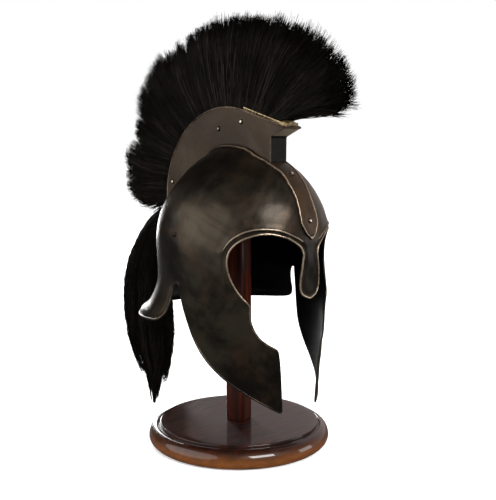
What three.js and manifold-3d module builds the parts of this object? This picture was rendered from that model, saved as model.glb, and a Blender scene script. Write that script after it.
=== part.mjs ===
// A crested Greek helmet of dark bronze on a plain turned wooden stand.
// Units are millimetres, +Z is up, the helmet faces -Y, and its wearer's right hand is -X.
// The origin is the centre of the stand's underside, on the surface that it stands on.

import * as THREE from 'three';
import { mergeVertices } from 'three/addons/utils/BufferGeometryUtils.js';
import Module from 'manifold-3d';

const wasm = await Module();
wasm.setup();

// Driving dimensions of the stand.
const BASE_RADIUS = 115;
const BASE_HEIGHT = 27;
const BASE_FOOT_RADIUS = 104;
const BASE_DISC_RADIUS = 101;
const BASE_BULGE_HEIGHT = 10;
const BASE_GROOVE = 2.5;
const POST_WIDTH = 25;
const POST_CORNER = 3.5;
const POST_TURN_DEG = 14;
const POST_TOP = 335;
const REST_RADIUS = 44;
const REST_HEIGHT = 70;
const BASE_SECTORS = 44;
const POST_CORNER_STEPS = 3;
const REST_SIDES = 20;

// Driving dimensions of the metal.
const WALL = 2;
const GAP = 0.3;
const SECTION_CENTRE_Y = 2;
const FORM_COLUMNS = 44;
const NASAL_NECK = 11.5;
const NASAL_REAR_Y = -95;
const CHIN_GAP_HALF = 24;
const BAND_THICKNESS = 1.6;
const BAND_HALF_WIDTH = 18;
const BAND_RIVET_SEAT = 0.5;
const CREST_HALF_WIDTH = 14;
const CREST_SHEET = 1.4;
const CREST_CENTRE = { y: 10, z: 310 };
const CREST_RADIUS = 112.5;
const CREST_REAR_DEG = -13;
const CREST_SPLIT_DEG = -3;
const CREST_FRONT_DEG = 108;
const CREST_BEAK = { y: -91.5, z: 396.5 };
const CREST_PLATE_Y = -68;
const CREST_PLATE_TOP = 386;
const CREST_FLOOR_Z = 325;
const CREST_FLOOR_REAR_Y = 60;
const CREST_CAVITY_Z = 295;
const CREST_CAVITY_REAR_Y = 50;
const CREST_BEND_SHARE = 0.65;
const CREST_STEPS = 26;
const CREST_SEAT = GAP + BAND_THICKNESS + GAP;
const RIVET_RADIUS = 3.2;
const RIVET_HEIGHT = 1.8;
const RIVET_SIDES = 8;

// Heights and reaches that lie clear of the whole helmet, for the cutting prisms.
const FORM_TOP = 400;
const FORM_REACH = 160;
const BELOW_ALL = 20;
const ABOVE_CREST = 450;
const BACKING_REACH = 260;
const BACKING_STEP_DEG = 30;
const BACKING_REAR_DEG = -33;
const BACKING_FRONT_DEG = 150;
const BACKING_SPLIT_DEG = 0.3;

// Horizontal sections of the helmet, from the crown down. Each is two half ellipses that meet at the
// widest place: cheek and front are the front half's width and reach, neck and rear the back half's.
const SECTIONS = [
  { z: 377, cheek: 0, front: 2, neck: 0, rear: 2 },
  { z: 371.5, cheek: 24, front: -31, neck: 24, rear: 30 },
  { z: 362, cheek: 41, front: -51, neck: 41, rear: 45 },
  { z: 354.5, cheek: 51, front: -69, neck: 51, rear: 56 },
  { z: 343, cheek: 63, front: -87, neck: 63, rear: 68 },
  { z: 325, cheek: 79, front: -102, neck: 79, rear: 81 },
  { z: 305, cheek: 93, front: -112, neck: 93, rear: 92 },
  { z: 285, cheek: 100.5, front: -117.5, neck: 100.5, rear: 97.5 },
  { z: 265, cheek: 103.5, front: -120, neck: 103.5, rear: 99.5 },
  { z: 240, cheek: 103, front: -121, neck: 103, rear: 98.5 },
  { z: 217, cheek: 102, front: -120, neck: 102, rear: 99 },
  { z: 204, cheek: 101, front: -119.5, neck: 103.5, rear: 102.5 },
  { z: 192, cheek: 100, front: -119, neck: 106.5, rear: 108 },
  { z: 180, cheek: 98.5, front: -118, neck: 111.5, rear: 118 },
  { z: 167, cheek: 96.5, front: -117.5, neck: 118, rear: 134 },
  { z: 137, cheek: 92, front: -115.5, neck: 120, rear: 138 },
  { z: 100, cheek: 88, front: -113, neck: 120, rear: 138 },
  { z: 50, cheek: 83, front: -110, neck: 120, rear: 138 },
];

// Edges of the sheet in side view, each a smooth run between two corners, and the steps of each run.
const EDGE_STEPS = { eye: 27, cheekFront: 12, cheekDrop: 3, cheekRear: 24, neck: 24, nasal: 15 };
const EDGE_EYE = [
  { y: -119.5, z: 250 }, { y: -118.8, z: 262 }, { y: -113.5, z: 272 }, { y: -101, z: 277.5 },
  { y: -84, z: 272 }, { y: -72, z: 260 }, { y: -68, z: 244 }, { y: -71, z: 226 },
  { y: -79, z: 208 }, { y: -88.5, z: 194.5 },
];
const EDGE_CHEEK_FRONT = [
  { y: -88.5, z: 194.5 }, { y: -86.8, z: 182 }, { y: -88.5, z: 168 }, { y: -94, z: 154 },
  { y: -105, z: 141 },
];
const EDGE_CHEEK_DROP = [
  { y: -105, z: 141 }, { y: -105, z: 122 }, { y: -104.2, z: 90 }, { y: -103.5, z: 64 },
];
const EDGE_CHEEK_REAR = [
  { y: -103.5, z: 64 }, { y: -94, z: 74 }, { y: -76, z: 89 }, { y: -54, z: 106 },
  { y: -34, z: 125 }, { y: -20, z: 147 }, { y: -11, z: 176 }, { y: -6, z: 200 }, { y: -3, z: 218 },
];
const EDGE_NECK = [
  { y: -3, z: 218 }, { y: 4.5, z: 212 }, { y: 7.5, z: 198 }, { y: 9.5, z: 183 }, { y: 16, z: 173.5 },
  { y: 30, z: 169.5 }, { y: 60, z: 167 }, { y: 100, z: 165 }, { y: 136, z: 164 },
];

// The nasal's edge in front view, from its neck under the brow down to its rounded point.
const EDGE_NASAL = [
  { x: 11.5, z: 252 }, { x: 13.6, z: 240 }, { x: 15.6, z: 224 }, { x: 15.8, z: 213 },
  { x: 12, z: 205 }, { x: 0, z: 200 },
];

// The band's edge in front view: wide under the crest holder, then a waist, the corners and the point.
const EDGE_BAND = [
  { x: BAND_HALF_WIDTH, z: FORM_TOP }, { x: BAND_HALF_WIDTH, z: 358 }, { x: 14.5, z: 341 },
  { x: 13.4, z: 308 }, { x: 15.4, z: 289 }, { x: 8.6, z: 276 }, { x: 0, z: 268.5 },
];
const BAND_REAR_Z = 284;

// Rows of the plume: where each stands along the crest line (0 rear, 1 beak), the direction that its
// hair points (0 is backward, 90 up) and its length.
const PLUME_ROWS = [
  { station: 0.0, lean: -12, length: 78 },
  { station: 0.05, lean: 2, length: 92 },
  { station: 0.13, lean: 9, length: 106 },
  { station: 0.18, lean: 18, length: 86 },
  { station: 0.24, lean: 28, length: 98 },
  { station: 0.31, lean: 42, length: 118 },
  { station: 0.385, lean: 54, length: 115 },
  { station: 0.44, lean: 61, length: 100 },
  { station: 0.52, lean: 74, length: 108 },
  { station: 0.63, lean: 90, length: 110 },
  { station: 0.735, lean: 107, length: 112 },
  { station: 0.82, lean: 124, length: 120 },
  { station: 0.885, lean: 142, length: 122 },
  { station: 0.95, lean: 158, length: 106 },
  { station: 1.0, lean: 173, length: 80 },
];
const PLUME_SLICES = 20;
const PLUME_LOCKS = 20;
const PLUME_CORE = [
  { reach: -0.06, half: 11.4 }, { reach: 0.45, half: 17.5 }, { reach: 0.72, half: 18 },
  { reach: 0.85, half: 10 },
];
const LOCK_SHAPE = [
  { reach: 0.6, along: 9, across: 7 }, { reach: 0.87, along: 8, across: 6 },
  { reach: 1, along: 2.5, across: 1.5 },
];
const LOCK_SPREAD = 9;
const LOCK_RAGGED = 0.05;
const LOCK_RAGGED_TURN = 2.4;
const LOCK_INNER_SHARE = 0.9;
const LOCK_INNER_SHIFT = 4;

// Sections of the tail along its fall: centre, half depth in the mid-plane and half width across it.
const TAIL_SECTIONS = [
  { y: 108, z: 296, depth: 6, width: 11 },
  { y: 128, z: 290, depth: 9, width: 12 },
  { y: 156, z: 268, depth: 17, width: 16 },
  { y: 176, z: 232, depth: 28, width: 20 },
  { y: 186, z: 190, depth: 40, width: 23 },
  { y: 185, z: 145, depth: 46, width: 24 },
  { y: 181, z: 105, depth: 46, width: 23 },
  { y: 175, z: 72, depth: 36, width: 18 },
  { y: 169, z: 44, depth: 20, width: 12 },
  { y: 166, z: 16, depth: 5, width: 4 },
];

const TAIL_SIDES = 10;
const TAIL_LOCK_SIDES = 5;
const TAIL_LOCK_SHAPE = [
  { fallen: 0, size: 5, spread: 0.7 }, { fallen: 0.6, size: 6, spread: 0.85 },
  { fallen: 1, size: 1, spread: 0.7 },
];

// Locks that hang out of the tail: the height that each starts at, its place round the tail, how far
// it falls and how far its tip stands out.
const TAIL_LOCKS = [
  { z: 175, round: 20, fall: 90, out: 10 },
  { z: 150, round: 150, fall: 85, out: 6 },
  { z: 130, round: -30, fall: 80, out: 9 },
  { z: 120, round: 75, fall: 75, out: 4 },
  { z: 115, round: -100, fall: 80, out: 4 },
  { z: 90, round: 190, fall: 62, out: 2 },
  { z: 80, round: 10, fall: 58, out: 4 },
  { z: 70, round: 110, fall: 50, out: 2 },
];

// Rivets: on both crest panels, on the band and on both sides of the skull.
const CREST_RIVETS = [{ y: -19, z: 404.5 }, { y: 21, z: 396.5 }, { y: 111, z: 328 }];
const BAND_RIVETS = [342, 290];
const SKULL_RIVET_Z = 273;
const RIVET_PROFILE = [
  { radius: 0, height: 0 }, { radius: 1, height: 0 }, { radius: 0.7, height: 0.72 },
  { radius: 0, height: 1 },
];

const metal = (color, roughness) => new THREE.MeshStandardMaterial({ color, roughness, metalness: 0.85 });
const darkBronze = metal(0x2b2620, 0.42);
const brownBronze = metal(0x4a3d33, 0.5);
const wornRivet = metal(0x8a7a60, 0.4);
const lacqueredWood = new THREE.MeshStandardMaterial({ color: 0x2e0d08, roughness: 0.15, metalness: 0 });
const horsehair = new THREE.MeshStandardMaterial({ color: 0x0c0b0b, roughness: 0.7, metalness: 0 });

// A closed three.js geometry as a solid that can be cut and joined.
function toSolid(geometry) {
  const bare = geometry.index ? geometry.toNonIndexed() : geometry.clone();
  bare.deleteAttribute('normal');
  bare.deleteAttribute('uv');
  const merged = mergeVertices(bare, 1e-4);
  return new wasm.Manifold(new wasm.Mesh({
    numProp: 3,
    vertProperties: new Float32Array(merged.attributes.position.array),
    triVerts: new Uint32Array(merged.index.array),
  }));
}

// A solid as a named mesh.
function toMesh(name, solid, material) {
  const { numProp, vertProperties, triVerts } = solid.getMesh();
  const position = new Float32Array((vertProperties.length / numProp) * 3);
  for (let i = 0; i < position.length / 3; i += 1) {
    position.set(vertProperties.subarray(i * numProp, i * numProp + 3), i * 3);
  }
  const geometry = new THREE.BufferGeometry();
  geometry.setAttribute('position', new THREE.BufferAttribute(position, 3));
  geometry.setIndex(new THREE.BufferAttribute(new Uint32Array(triVerts), 1));
  geometry.computeVertexNormals();
  const mesh = new THREE.Mesh(geometry, material);
  mesh.name = name;
  return mesh;
}

// A closed skin over rings of equally many points, with a flat fan over the first and the last ring.
// Rings that run the other way round would turn it inside out, so they are reversed.
function loft(rings) {
  const count = rings[0].length;
  const triangles = [];
  const push = (...points) => points.forEach((p) => triangles.push(p.x, p.y, p.z));
  const middle = (ring) => ring.reduce((sum, p) => sum.add(p), new THREE.Vector3()).divideScalar(count);
  for (let r = 0; r + 1 < rings.length; r += 1) {
    for (let i = 0; i < count; i += 1) {
      const [a, b] = [rings[r][i], rings[r][(i + 1) % count]];
      const [c, d] = [rings[r + 1][i], rings[r + 1][(i + 1) % count]];
      push(a, c, b);
      push(b, c, d);
    }
  }
  const [top, bottom] = [rings[0], rings[rings.length - 1]];
  const [topMiddle, bottomMiddle] = [middle(top), middle(bottom)];
  for (let i = 0; i < count; i += 1) {
    push(topMiddle, top[i], top[(i + 1) % count]);
    push(bottomMiddle, bottom[(i + 1) % count], bottom[i]);
  }
  const geometry = new THREE.BufferGeometry();
  geometry.setAttribute('position', new THREE.Float32BufferAttribute(triangles, 3));
  const solid = toSolid(geometry);
  return solid.volume() > 0 ? solid : loft(rings.map((ring) => [...ring].reverse()));
}

// A side-view outline carried straight along X.
const SIDE_VIEW = new THREE.Matrix4().makeBasis(
  new THREE.Vector3(0, 1, 0), new THREE.Vector3(0, 0, 1), new THREE.Vector3(1, 0, 0));
function prismAlongX(points, from, to) {
  const shape = new THREE.Shape(points.map((p) => new THREE.Vector2(p.y, p.z)));
  const geometry = new THREE.ExtrudeGeometry(shape, { depth: to - from, bevelEnabled: false });
  return toSolid(geometry.applyMatrix4(SIDE_VIEW).translate(from, 0, 0));
}

// A front-view outline carried straight along Y.
const FRONT_VIEW = new THREE.Matrix4().makeBasis(
  new THREE.Vector3(1, 0, 0), new THREE.Vector3(0, 0, 1), new THREE.Vector3(0, -1, 0));
function prismAlongY(points, from, to) {
  const shape = new THREE.Shape(points.map((p) => new THREE.Vector2(p.x, p.z)));
  const geometry = new THREE.ExtrudeGeometry(shape, { depth: to - from, bevelEnabled: false });
  return toSolid(geometry.applyMatrix4(FRONT_VIEW).translate(0, to, 0));
}

// Points of a smooth run through a short table, with the named columns kept.
function smooth(rows, across, count) {
  const curve = new THREE.SplineCurve(rows.map((row) => new THREE.Vector2(row[across], row.z)));
  return curve.getPoints(count).map((p) => ({ [across]: p.x, z: p.y }));
}

const mirrored = (solid) => solid.mirror([1, 0, 0]);
const radians = THREE.MathUtils.degToRad;
const union = (solids) => wasm.Manifold.union(solids);

// The helmet's horizontal section at a place down the table, 0 at the crown.
const sectionCurves = Object.fromEntries(['cheek', 'front', 'neck', 'rear'].map((column) => [
  column, new THREE.SplineCurve(SECTIONS.map((s) => new THREE.Vector2(s[column], s.z))),
]));
function sectionAt(place) {
  const t = place / (SECTIONS.length - 1);
  const section = { z: sectionCurves.front.getPoint(t).y };
  Object.entries(sectionCurves).forEach(([column, curve]) => {
    section[column] = curve.getPoint(t).x;
  });
  return section;
}

// The section at a height, found by halving.
function sectionAtHeight(z) {
  let [high, low] = [0, SECTIONS.length - 1];
  for (let i = 0; i < 40; i += 1) {
    const middle = (high + low) / 2;
    if (sectionAt(middle).z > z) high = middle;
    else low = middle;
  }
  return sectionAt(low);
}

// A point of the outer surface. The turn is 0 at the front and grows towards the wearer's right.
function surfacePoint(section, turn) {
  const forward = Math.cos(turn);
  const half = forward > 1e-9 ? section.cheek : section.neck;
  const reach = forward > 0 ? SECTION_CENTRE_Y - section.front : section.rear - SECTION_CENTRE_Y;
  return new THREE.Vector3(-half * Math.sin(turn), SECTION_CENTRE_Y - reach * forward, section.z);
}

// The same point moved along the surface's normal, outward if the offset is positive.
function offsetPoint(place, turn, offset) {
  const step = 1e-3;
  const section = sectionAt(place);
  const above = surfacePoint(sectionAt(Math.max(place - step, 0)), turn);
  const below = surfacePoint(sectionAt(place + step), turn);
  const before = surfacePoint(section, turn - step);
  const after = surfacePoint(section, turn + step);
  const normal = after.sub(before).cross(below.sub(above)).normalize();
  if (place < step) normal.set(0, 0, 1);
  return surfacePoint(section, turn).addScaledVector(normal, offset);
}

// The helmet's whole outer form as a solid, moved in or out by an offset. Its columns stand half a
// step off the widest place, where the cheek's width jumps to the neck guard's inside the notch.
function helmetForm(offset) {
  const rings = SECTIONS.map((row, index) => {
    const place = THREE.MathUtils.clamp(index, 0.5, SECTIONS.length - 1.01);
    return Array.from({ length: FORM_COLUMNS }, (_, i) => (
      offsetPoint(place, (2 * Math.PI * (i + 0.5)) / FORM_COLUMNS, offset)));
  });
  return loft(rings);
}

// The skull, neck guard, cheek pieces and nasal are one hammered sheet.
function makeShell() {
  const sheet = helmetForm(0).subtract(helmetForm(-WALL));
  const eye = smooth(EDGE_EYE, 'y', EDGE_STEPS.eye);
  const cheekFront = smooth(EDGE_CHEEK_FRONT, 'y', EDGE_STEPS.cheekFront);
  const cheekDrop = smooth(EDGE_CHEEK_DROP, 'y', EDGE_STEPS.cheekDrop);
  const cheekRear = smooth(EDGE_CHEEK_REAR, 'y', EDGE_STEPS.cheekRear);
  const neck = smooth(EDGE_NECK, 'y', EDGE_STEPS.neck);
  const nasal = smooth(EDGE_NASAL, 'x', EDGE_STEPS.nasal);

  const tip = EDGE_CHEEK_DROP[EDGE_CHEEK_DROP.length - 1];
  const nasalTop = EDGE_NASAL[0].z;
  const face = prismAlongX([
    { y: -FORM_REACH, z: EDGE_EYE[0].z }, ...eye, ...cheekFront.slice(1), ...cheekDrop.slice(1),
    { y: tip.y, z: BELOW_ALL }, { y: -FORM_REACH, z: BELOW_ALL },
  ], -FORM_REACH, -NASAL_NECK);
  const nasalRoom = prismAlongY([
    { x: -CHIN_GAP_HALF, z: BELOW_ALL }, { x: 0, z: BELOW_ALL }, { x: 0, z: nasalTop },
    { x: -CHIN_GAP_HALF, z: nasalTop },
  ], -FORM_REACH, NASAL_REAR_Y);
  const sideFace = face.subtract(nasalRoom);
  const besideNasal = prismAlongY([
    ...nasal, { x: 0, z: BELOW_ALL }, { x: CHIN_GAP_HALF, z: BELOW_ALL },
    { x: CHIN_GAP_HALF, z: nasalTop },
  ], -FORM_REACH, NASAL_REAR_Y);
  const below = prismAlongX([
    ...cheekRear, ...neck.slice(1), { y: FORM_REACH, z: EDGE_NECK[EDGE_NECK.length - 1].z },
    { y: FORM_REACH, z: BELOW_ALL }, { y: tip.y, z: BELOW_ALL },
  ], -FORM_REACH, FORM_REACH);
  const cuts = [sideFace, mirrored(sideFace), besideNasal, mirrored(besideNasal), below];
  return sheet.subtract(union(cuts));
}

// The band lies on the skull's mid-plane, from its point above the nasal over the crown to the rear.
function makeBand() {
  const right = EDGE_BAND.slice(0, -1);
  const left = right.map(({ x, z }) => ({ x: -x, z })).reverse();
  const point = EDGE_BAND[EDGE_BAND.length - 1];
  const front = prismAlongY([...right, point, ...left], -FORM_REACH, SECTION_CENTRE_Y);
  const rear = prismAlongY([
    { x: BAND_HALF_WIDTH, z: BAND_REAR_Z }, { x: BAND_HALF_WIDTH, z: FORM_TOP },
    { x: -BAND_HALF_WIDTH, z: FORM_TOP }, { x: -BAND_HALF_WIDTH, z: BAND_REAR_Z },
  ], SECTION_CENTRE_Y - 1, FORM_REACH);
  return helmetForm(GAP + BAND_THICKNESS).subtract(helmetForm(GAP)).intersect(front.add(rear));
}

// The crest line is an arc from the rear, then a straight run to the beak.
function arcPoint(degrees, radius = CREST_RADIUS) {
  const angle = radians(degrees);
  return { y: CREST_CENTRE.y + radius * Math.cos(angle), z: CREST_CENTRE.z + radius * Math.sin(angle) };
}
function crestLine(from, grow) {
  const arc = Array.from({ length: CREST_STEPS + 1 }, (_, i) => (
    arcPoint(THREE.MathUtils.lerp(from, CREST_FRONT_DEG, i / CREST_STEPS), CREST_RADIUS + grow)));
  return [...arc, { y: CREST_BEAK.y - grow, z: CREST_BEAK.z + grow }];
}

// The crest holder is open along the crest line. Grown, it is the room that the hair keeps clear of.
function makeCrestBox(grow) {
  const rearEnd = arcPoint(CREST_REAR_DEG, CREST_RADIUS + grow);
  const outline = [
    ...crestLine(CREST_REAR_DEG, grow),
    { y: CREST_BEAK.y - grow, z: CREST_BEAK.z - grow },
    { y: CREST_PLATE_Y - grow, z: CREST_PLATE_TOP - grow },
    { y: CREST_PLATE_Y - grow, z: CREST_FLOOR_Z }, { y: CREST_FLOOR_REAR_Y, z: CREST_FLOOR_Z },
    { y: CREST_FLOOR_REAR_Y, z: rearEnd.z - grow }, { y: rearEnd.y, z: rearEnd.z - grow },
  ];
  const sheet = CREST_SHEET + grow;
  const cavity = [
    { y: CREST_PLATE_Y + sheet, z: CREST_CAVITY_Z },
    { y: CREST_PLATE_Y + sheet, z: CREST_PLATE_TOP + sheet * CREST_BEND_SHARE },
    { y: CREST_BEAK.y + sheet, z: CREST_BEAK.z + sheet * CREST_BEND_SHARE },
    { y: CREST_BEAK.y + sheet, z: ABOVE_CREST }, { y: FORM_REACH, z: ABOVE_CREST },
    { y: FORM_REACH, z: rearEnd.z + sheet }, { y: CREST_CAVITY_REAR_Y, z: rearEnd.z + sheet },
    { y: CREST_CAVITY_REAR_Y, z: CREST_CAVITY_Z },
  ];
  const half = CREST_HALF_WIDTH + grow;
  const room = CREST_HALF_WIDTH - sheet;
  const seat = helmetForm(CREST_SEAT - grow);
  return prismAlongX(outline, -half, half).subtract(prismAlongX(cavity, -room, room)).subtract(seat);
}

// The backing that the hair is set in fills the holder between two angles of the crest line.
function makeBacking(fromDeg, toDeg, keepOut) {
  const fan = [];
  for (let degrees = fromDeg; degrees < toDeg; degrees += BACKING_STEP_DEG) {
    fan.push(arcPoint(degrees, BACKING_REACH));
  }
  fan.push(arcPoint(toDeg, BACKING_REACH));
  const wedge = prismAlongX([CREST_CENTRE, ...fan], -CREST_HALF_WIDTH, CREST_HALF_WIDTH);
  const room = CREST_HALF_WIDTH - CREST_SHEET - GAP;
  const rearEnd = arcPoint(CREST_REAR_DEG);
  const filling = prismAlongX([
    ...crestLine(CREST_REAR_DEG, 1), { y: CREST_PLATE_Y, z: CREST_PLATE_TOP + 1 },
    { y: CREST_PLATE_Y, z: CREST_FLOOR_Z }, { y: CREST_FLOOR_REAR_Y, z: CREST_FLOOR_Z },
    { y: CREST_FLOOR_REAR_Y, z: rearEnd.z }, { y: rearEnd.y, z: rearEnd.z },
  ], -room, room);
  const seat = helmetForm(CREST_SEAT);
  return filling.intersect(wedge).subtract(seat).subtract(keepOut);
}

// A place on the plume: along the crest line, then out along the hair.
function plumeFrame(station) {
  const arcLength = radians(CREST_FRONT_DEG - CREST_SPLIT_DEG) * CREST_RADIUS;
  const arcEnd = arcPoint(CREST_FRONT_DEG);
  const runLength = Math.hypot(CREST_BEAK.y - arcEnd.y, CREST_BEAK.z - arcEnd.z);
  const along = station * (arcLength + runLength);
  const degrees = CREST_SPLIT_DEG + THREE.MathUtils.radToDeg(along / CREST_RADIUS);
  const share = (along - arcLength) / runLength;
  const lerp = THREE.MathUtils.lerp;
  const onRun = { y: lerp(arcEnd.y, CREST_BEAK.y, share), z: lerp(arcEnd.z, CREST_BEAK.z, share) };
  const root = share < 0 ? arcPoint(degrees) : onRun;
  const next = Math.max(1, PLUME_ROWS.findIndex((row) => row.station >= station));
  const [a, b] = [PLUME_ROWS[next - 1], PLUME_ROWS[next]];
  const mix = (station - a.station) / (b.station - a.station);
  const lean = radians(lerp(a.lean, b.lean, mix));
  return { root, length: lerp(a.length, b.length, mix), dy: Math.cos(lean), dz: Math.sin(lean) };
}
function plumePoint({ root, length, dy, dz }, reach, along, across) {
  const out = reach * length;
  return new THREE.Vector3(across, root.y + dy * out - dz * along, root.z + dz * out + dy * along);
}

// One lock: four-sided, thick in the middle and drawn to a point.
function makeLock(frame, along, across) {
  const corners = [[1, 0], [0, 1], [-1, 0], [0, -1]];
  return loft(LOCK_SHAPE.map((row) => corners.map(([a, b]) => (
    plumePoint(frame, row.reach, along + a * row.along, across + b * row.across)))));
}

// The plume is a fan of locks fused to its core and backing.
function makePlume(keepOut) {
  const slices = Array.from({ length: PLUME_SLICES + 1 }, (_, i) => {
    const frame = plumeFrame(i / PLUME_SLICES);
    const near = PLUME_CORE.map(({ reach, half }) => plumePoint(frame, reach, 0, -half));
    const far = PLUME_CORE.map(({ reach, half }) => plumePoint(frame, reach, 0, half)).reverse();
    return [...near, ...far];
  });
  const locks = [];
  for (let i = 0; i < PLUME_LOCKS; i += 1) {
    const frame = plumeFrame((i + 0.5) / PLUME_LOCKS);
    const side = i % 2 === 0 ? -1 : 1;
    const ragged = { ...frame, length: frame.length * (1 + LOCK_RAGGED * Math.sin(i * LOCK_RAGGED_TURN)) };
    const inner = { ...frame, length: frame.length * LOCK_INNER_SHARE };
    locks.push(makeLock(ragged, 0, side * LOCK_SPREAD));
    locks.push(makeLock(inner, LOCK_INNER_SHIFT, -side * LOCK_SPREAD));
  }
  const hair = union([loft(slices), ...locks]).subtract(keepOut);
  return hair.add(makeBacking(CREST_SPLIT_DEG, BACKING_FRONT_DEG, keepOut));
}

// The tail leaves the rear end of the holder and falls behind the neck.
function makeTail(keepOut) {
  const path = new THREE.CatmullRomCurve3(TAIL_SECTIONS.map(({ y, z }) => new THREE.Vector3(0, y, z)));
  const rings = TAIL_SECTIONS.map(({ depth, width }, index) => {
    const t = index / (TAIL_SECTIONS.length - 1);
    const centre = path.getPoint(t);
    const fall = path.getTangent(t);
    const outward = new THREE.Vector3(0, -fall.z, fall.y);
    return Array.from({ length: TAIL_SIDES }, (_, i) => {
      const turn = (2 * Math.PI * i) / TAIL_SIDES;
      const point = centre.clone().addScaledVector(outward, depth * Math.cos(turn));
      return point.setX(width * Math.sin(turn));
    });
  });
  const locks = TAIL_LOCKS.map(({ z, round, fall, out }) => {
    const next = TAIL_SECTIONS.findIndex((row) => row.z < z);
    const { y, depth, width } = TAIL_SECTIONS[next];
    const turn = radians(round);
    const lockRing = (drop, size, spread) => Array.from({ length: TAIL_LOCK_SIDES }, (_, i) => {
      const angle = (2 * Math.PI * i) / TAIL_LOCK_SIDES;
      const [across, back] = [width * spread, depth * spread + (drop / fall) * out];
      return new THREE.Vector3(
        across * Math.sin(turn) + size * Math.sin(angle),
        y + back * Math.cos(turn) + size * Math.cos(angle), z - drop);
    });
    return loft(TAIL_LOCK_SHAPE.map(({ fallen, size, spread }) => lockRing(fall * fallen, size, spread)));
  });
  const hair = union([loft(rings), ...locks]).subtract(keepOut);
  return hair.add(makeBacking(BACKING_REAR_DEG, CREST_SPLIT_DEG - BACKING_SPLIT_DEG, keepOut));
}

// A domed rivet head, its flat side on the plane through the origin and its dome towards +Z.
function makeRivet(name, position, normal) {
  const profile = RIVET_PROFILE.map(({ radius, height }) => (
    new THREE.Vector2(radius * RIVET_RADIUS, height * RIVET_HEIGHT)));
  const head = new THREE.LatheGeometry(profile, RIVET_SIDES).rotateX(Math.PI / 2);
  const mesh = toMesh(name, toSolid(head), wornRivet);
  mesh.position.copy(position);
  mesh.quaternion.setFromUnitVectors(new THREE.Vector3(0, 0, 1), normal);
  return mesh;
}
function makeRivets() {
  const rivets = [];
  [['right', -1], ['left', 1]].forEach(([side, sign]) => {
    const outward = new THREE.Vector3(sign, 0, 0);
    CREST_RIVETS.forEach(({ y, z }, index) => {
      const seat = new THREE.Vector3(sign * (CREST_HALF_WIDTH + GAP), y, z);
      rivets.push(makeRivet(`crest_rivet_${side}_${index + 1}`, seat, outward));
    });
    const widest = sectionAtHeight(SKULL_RIVET_Z).cheek + GAP;
    const seat = new THREE.Vector3(sign * widest, SECTION_CENTRE_Y, SKULL_RIVET_Z);
    rivets.push(makeRivet(`skull_rivet_${side}`, seat, outward));
  });
  BAND_RIVETS.forEach((z, index) => {
    const here = sectionAtHeight(z);
    const above = sectionAtHeight(z + 1);
    const normal = new THREE.Vector3(0, -1, above.front - here.front).normalize();
    const seat = new THREE.Vector3(0, here.front, z)
      .addScaledVector(normal, BAND_THICKNESS + BAND_RIVET_SEAT);
    rivets.push(makeRivet(`band_rivet_${index + 1}`, seat, normal));
  });
  return rivets;
}

// The turned base: a raised flat disc, a groove round it, then a bullnose with an undercut foot.
function makeBase() {
  const profile = [new THREE.Vector2(0, 0), new THREE.Vector2(BASE_FOOT_RADIUS, 0)];
  const noseTop = BASE_HEIGHT - BASE_GROOVE - 1;
  const noseInner = BASE_DISC_RADIUS + BASE_GROOVE;
  for (let degrees = -72; degrees <= 90; degrees += 27) {
    const angle = radians(degrees);
    const height = degrees < 0 ? BASE_BULGE_HEIGHT : noseTop - BASE_BULGE_HEIGHT;
    profile.push(new THREE.Vector2(
      noseInner + (BASE_RADIUS - noseInner) * Math.cos(angle), BASE_BULGE_HEIGHT + height * Math.sin(angle)));
  }
  profile.push(
    new THREE.Vector2(BASE_DISC_RADIUS, noseTop - 1), new THREE.Vector2(BASE_DISC_RADIUS, BASE_HEIGHT - 1),
    new THREE.Vector2(BASE_DISC_RADIUS - 1, BASE_HEIGHT), new THREE.Vector2(0, BASE_HEIGHT));
  return toSolid(new THREE.LatheGeometry(profile, BASE_SECTORS).rotateX(Math.PI / 2));
}

// The square post has rounded corners and stands on the disc.
function makePost() {
  const half = POST_WIDTH / 2;
  const flat = half - POST_CORNER;
  const shape = new THREE.Shape();
  [[flat, flat], [-flat, flat], [-flat, -flat], [flat, -flat]].forEach(([x, y], quarter) => {
    shape.absarc(x, y, POST_CORNER, (quarter * Math.PI) / 2, ((quarter + 1) * Math.PI) / 2, false);
  });
  const depth = POST_TOP - BASE_HEIGHT - GAP;
  const post = new THREE.ExtrudeGeometry(shape, {
    depth, bevelEnabled: false, curveSegments: POST_CORNER_STEPS,
  });
  return toSolid(post.rotateZ(radians(POST_TURN_DEG)).translate(0, 0, BASE_HEIGHT + GAP));
}

// The hidden block on the post fits the inside of the crown.
function makeRest() {
  const block = new THREE.CylinderGeometry(REST_RADIUS, REST_RADIUS, REST_HEIGHT, REST_SIDES);
  block.rotateX(Math.PI / 2).translate(0, 0, POST_TOP + GAP + REST_HEIGHT / 2);
  return toSolid(block).intersect(helmetForm(-WALL - GAP));
}

const crestKeepOut = makeCrestBox(GAP);
const group = new THREE.Group();
group.add(toMesh('stand_base', makeBase(), lacqueredWood));
group.add(toMesh('stand_post', makePost(), lacqueredWood));
group.add(toMesh('post_rest', makeRest(), lacqueredWood));
group.add(toMesh('helmet_shell', makeShell(), darkBronze));
group.add(toMesh('medial_band', makeBand(), brownBronze));
group.add(toMesh('crest_box', makeCrestBox(0), brownBronze));
group.add(toMesh('crest_plume', makePlume(crestKeepOut), horsehair));
group.add(toMesh('crest_tail', makeTail(crestKeepOut), horsehair));
makeRivets().forEach((rivet) => group.add(rivet));

export default group;
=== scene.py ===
import math

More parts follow.
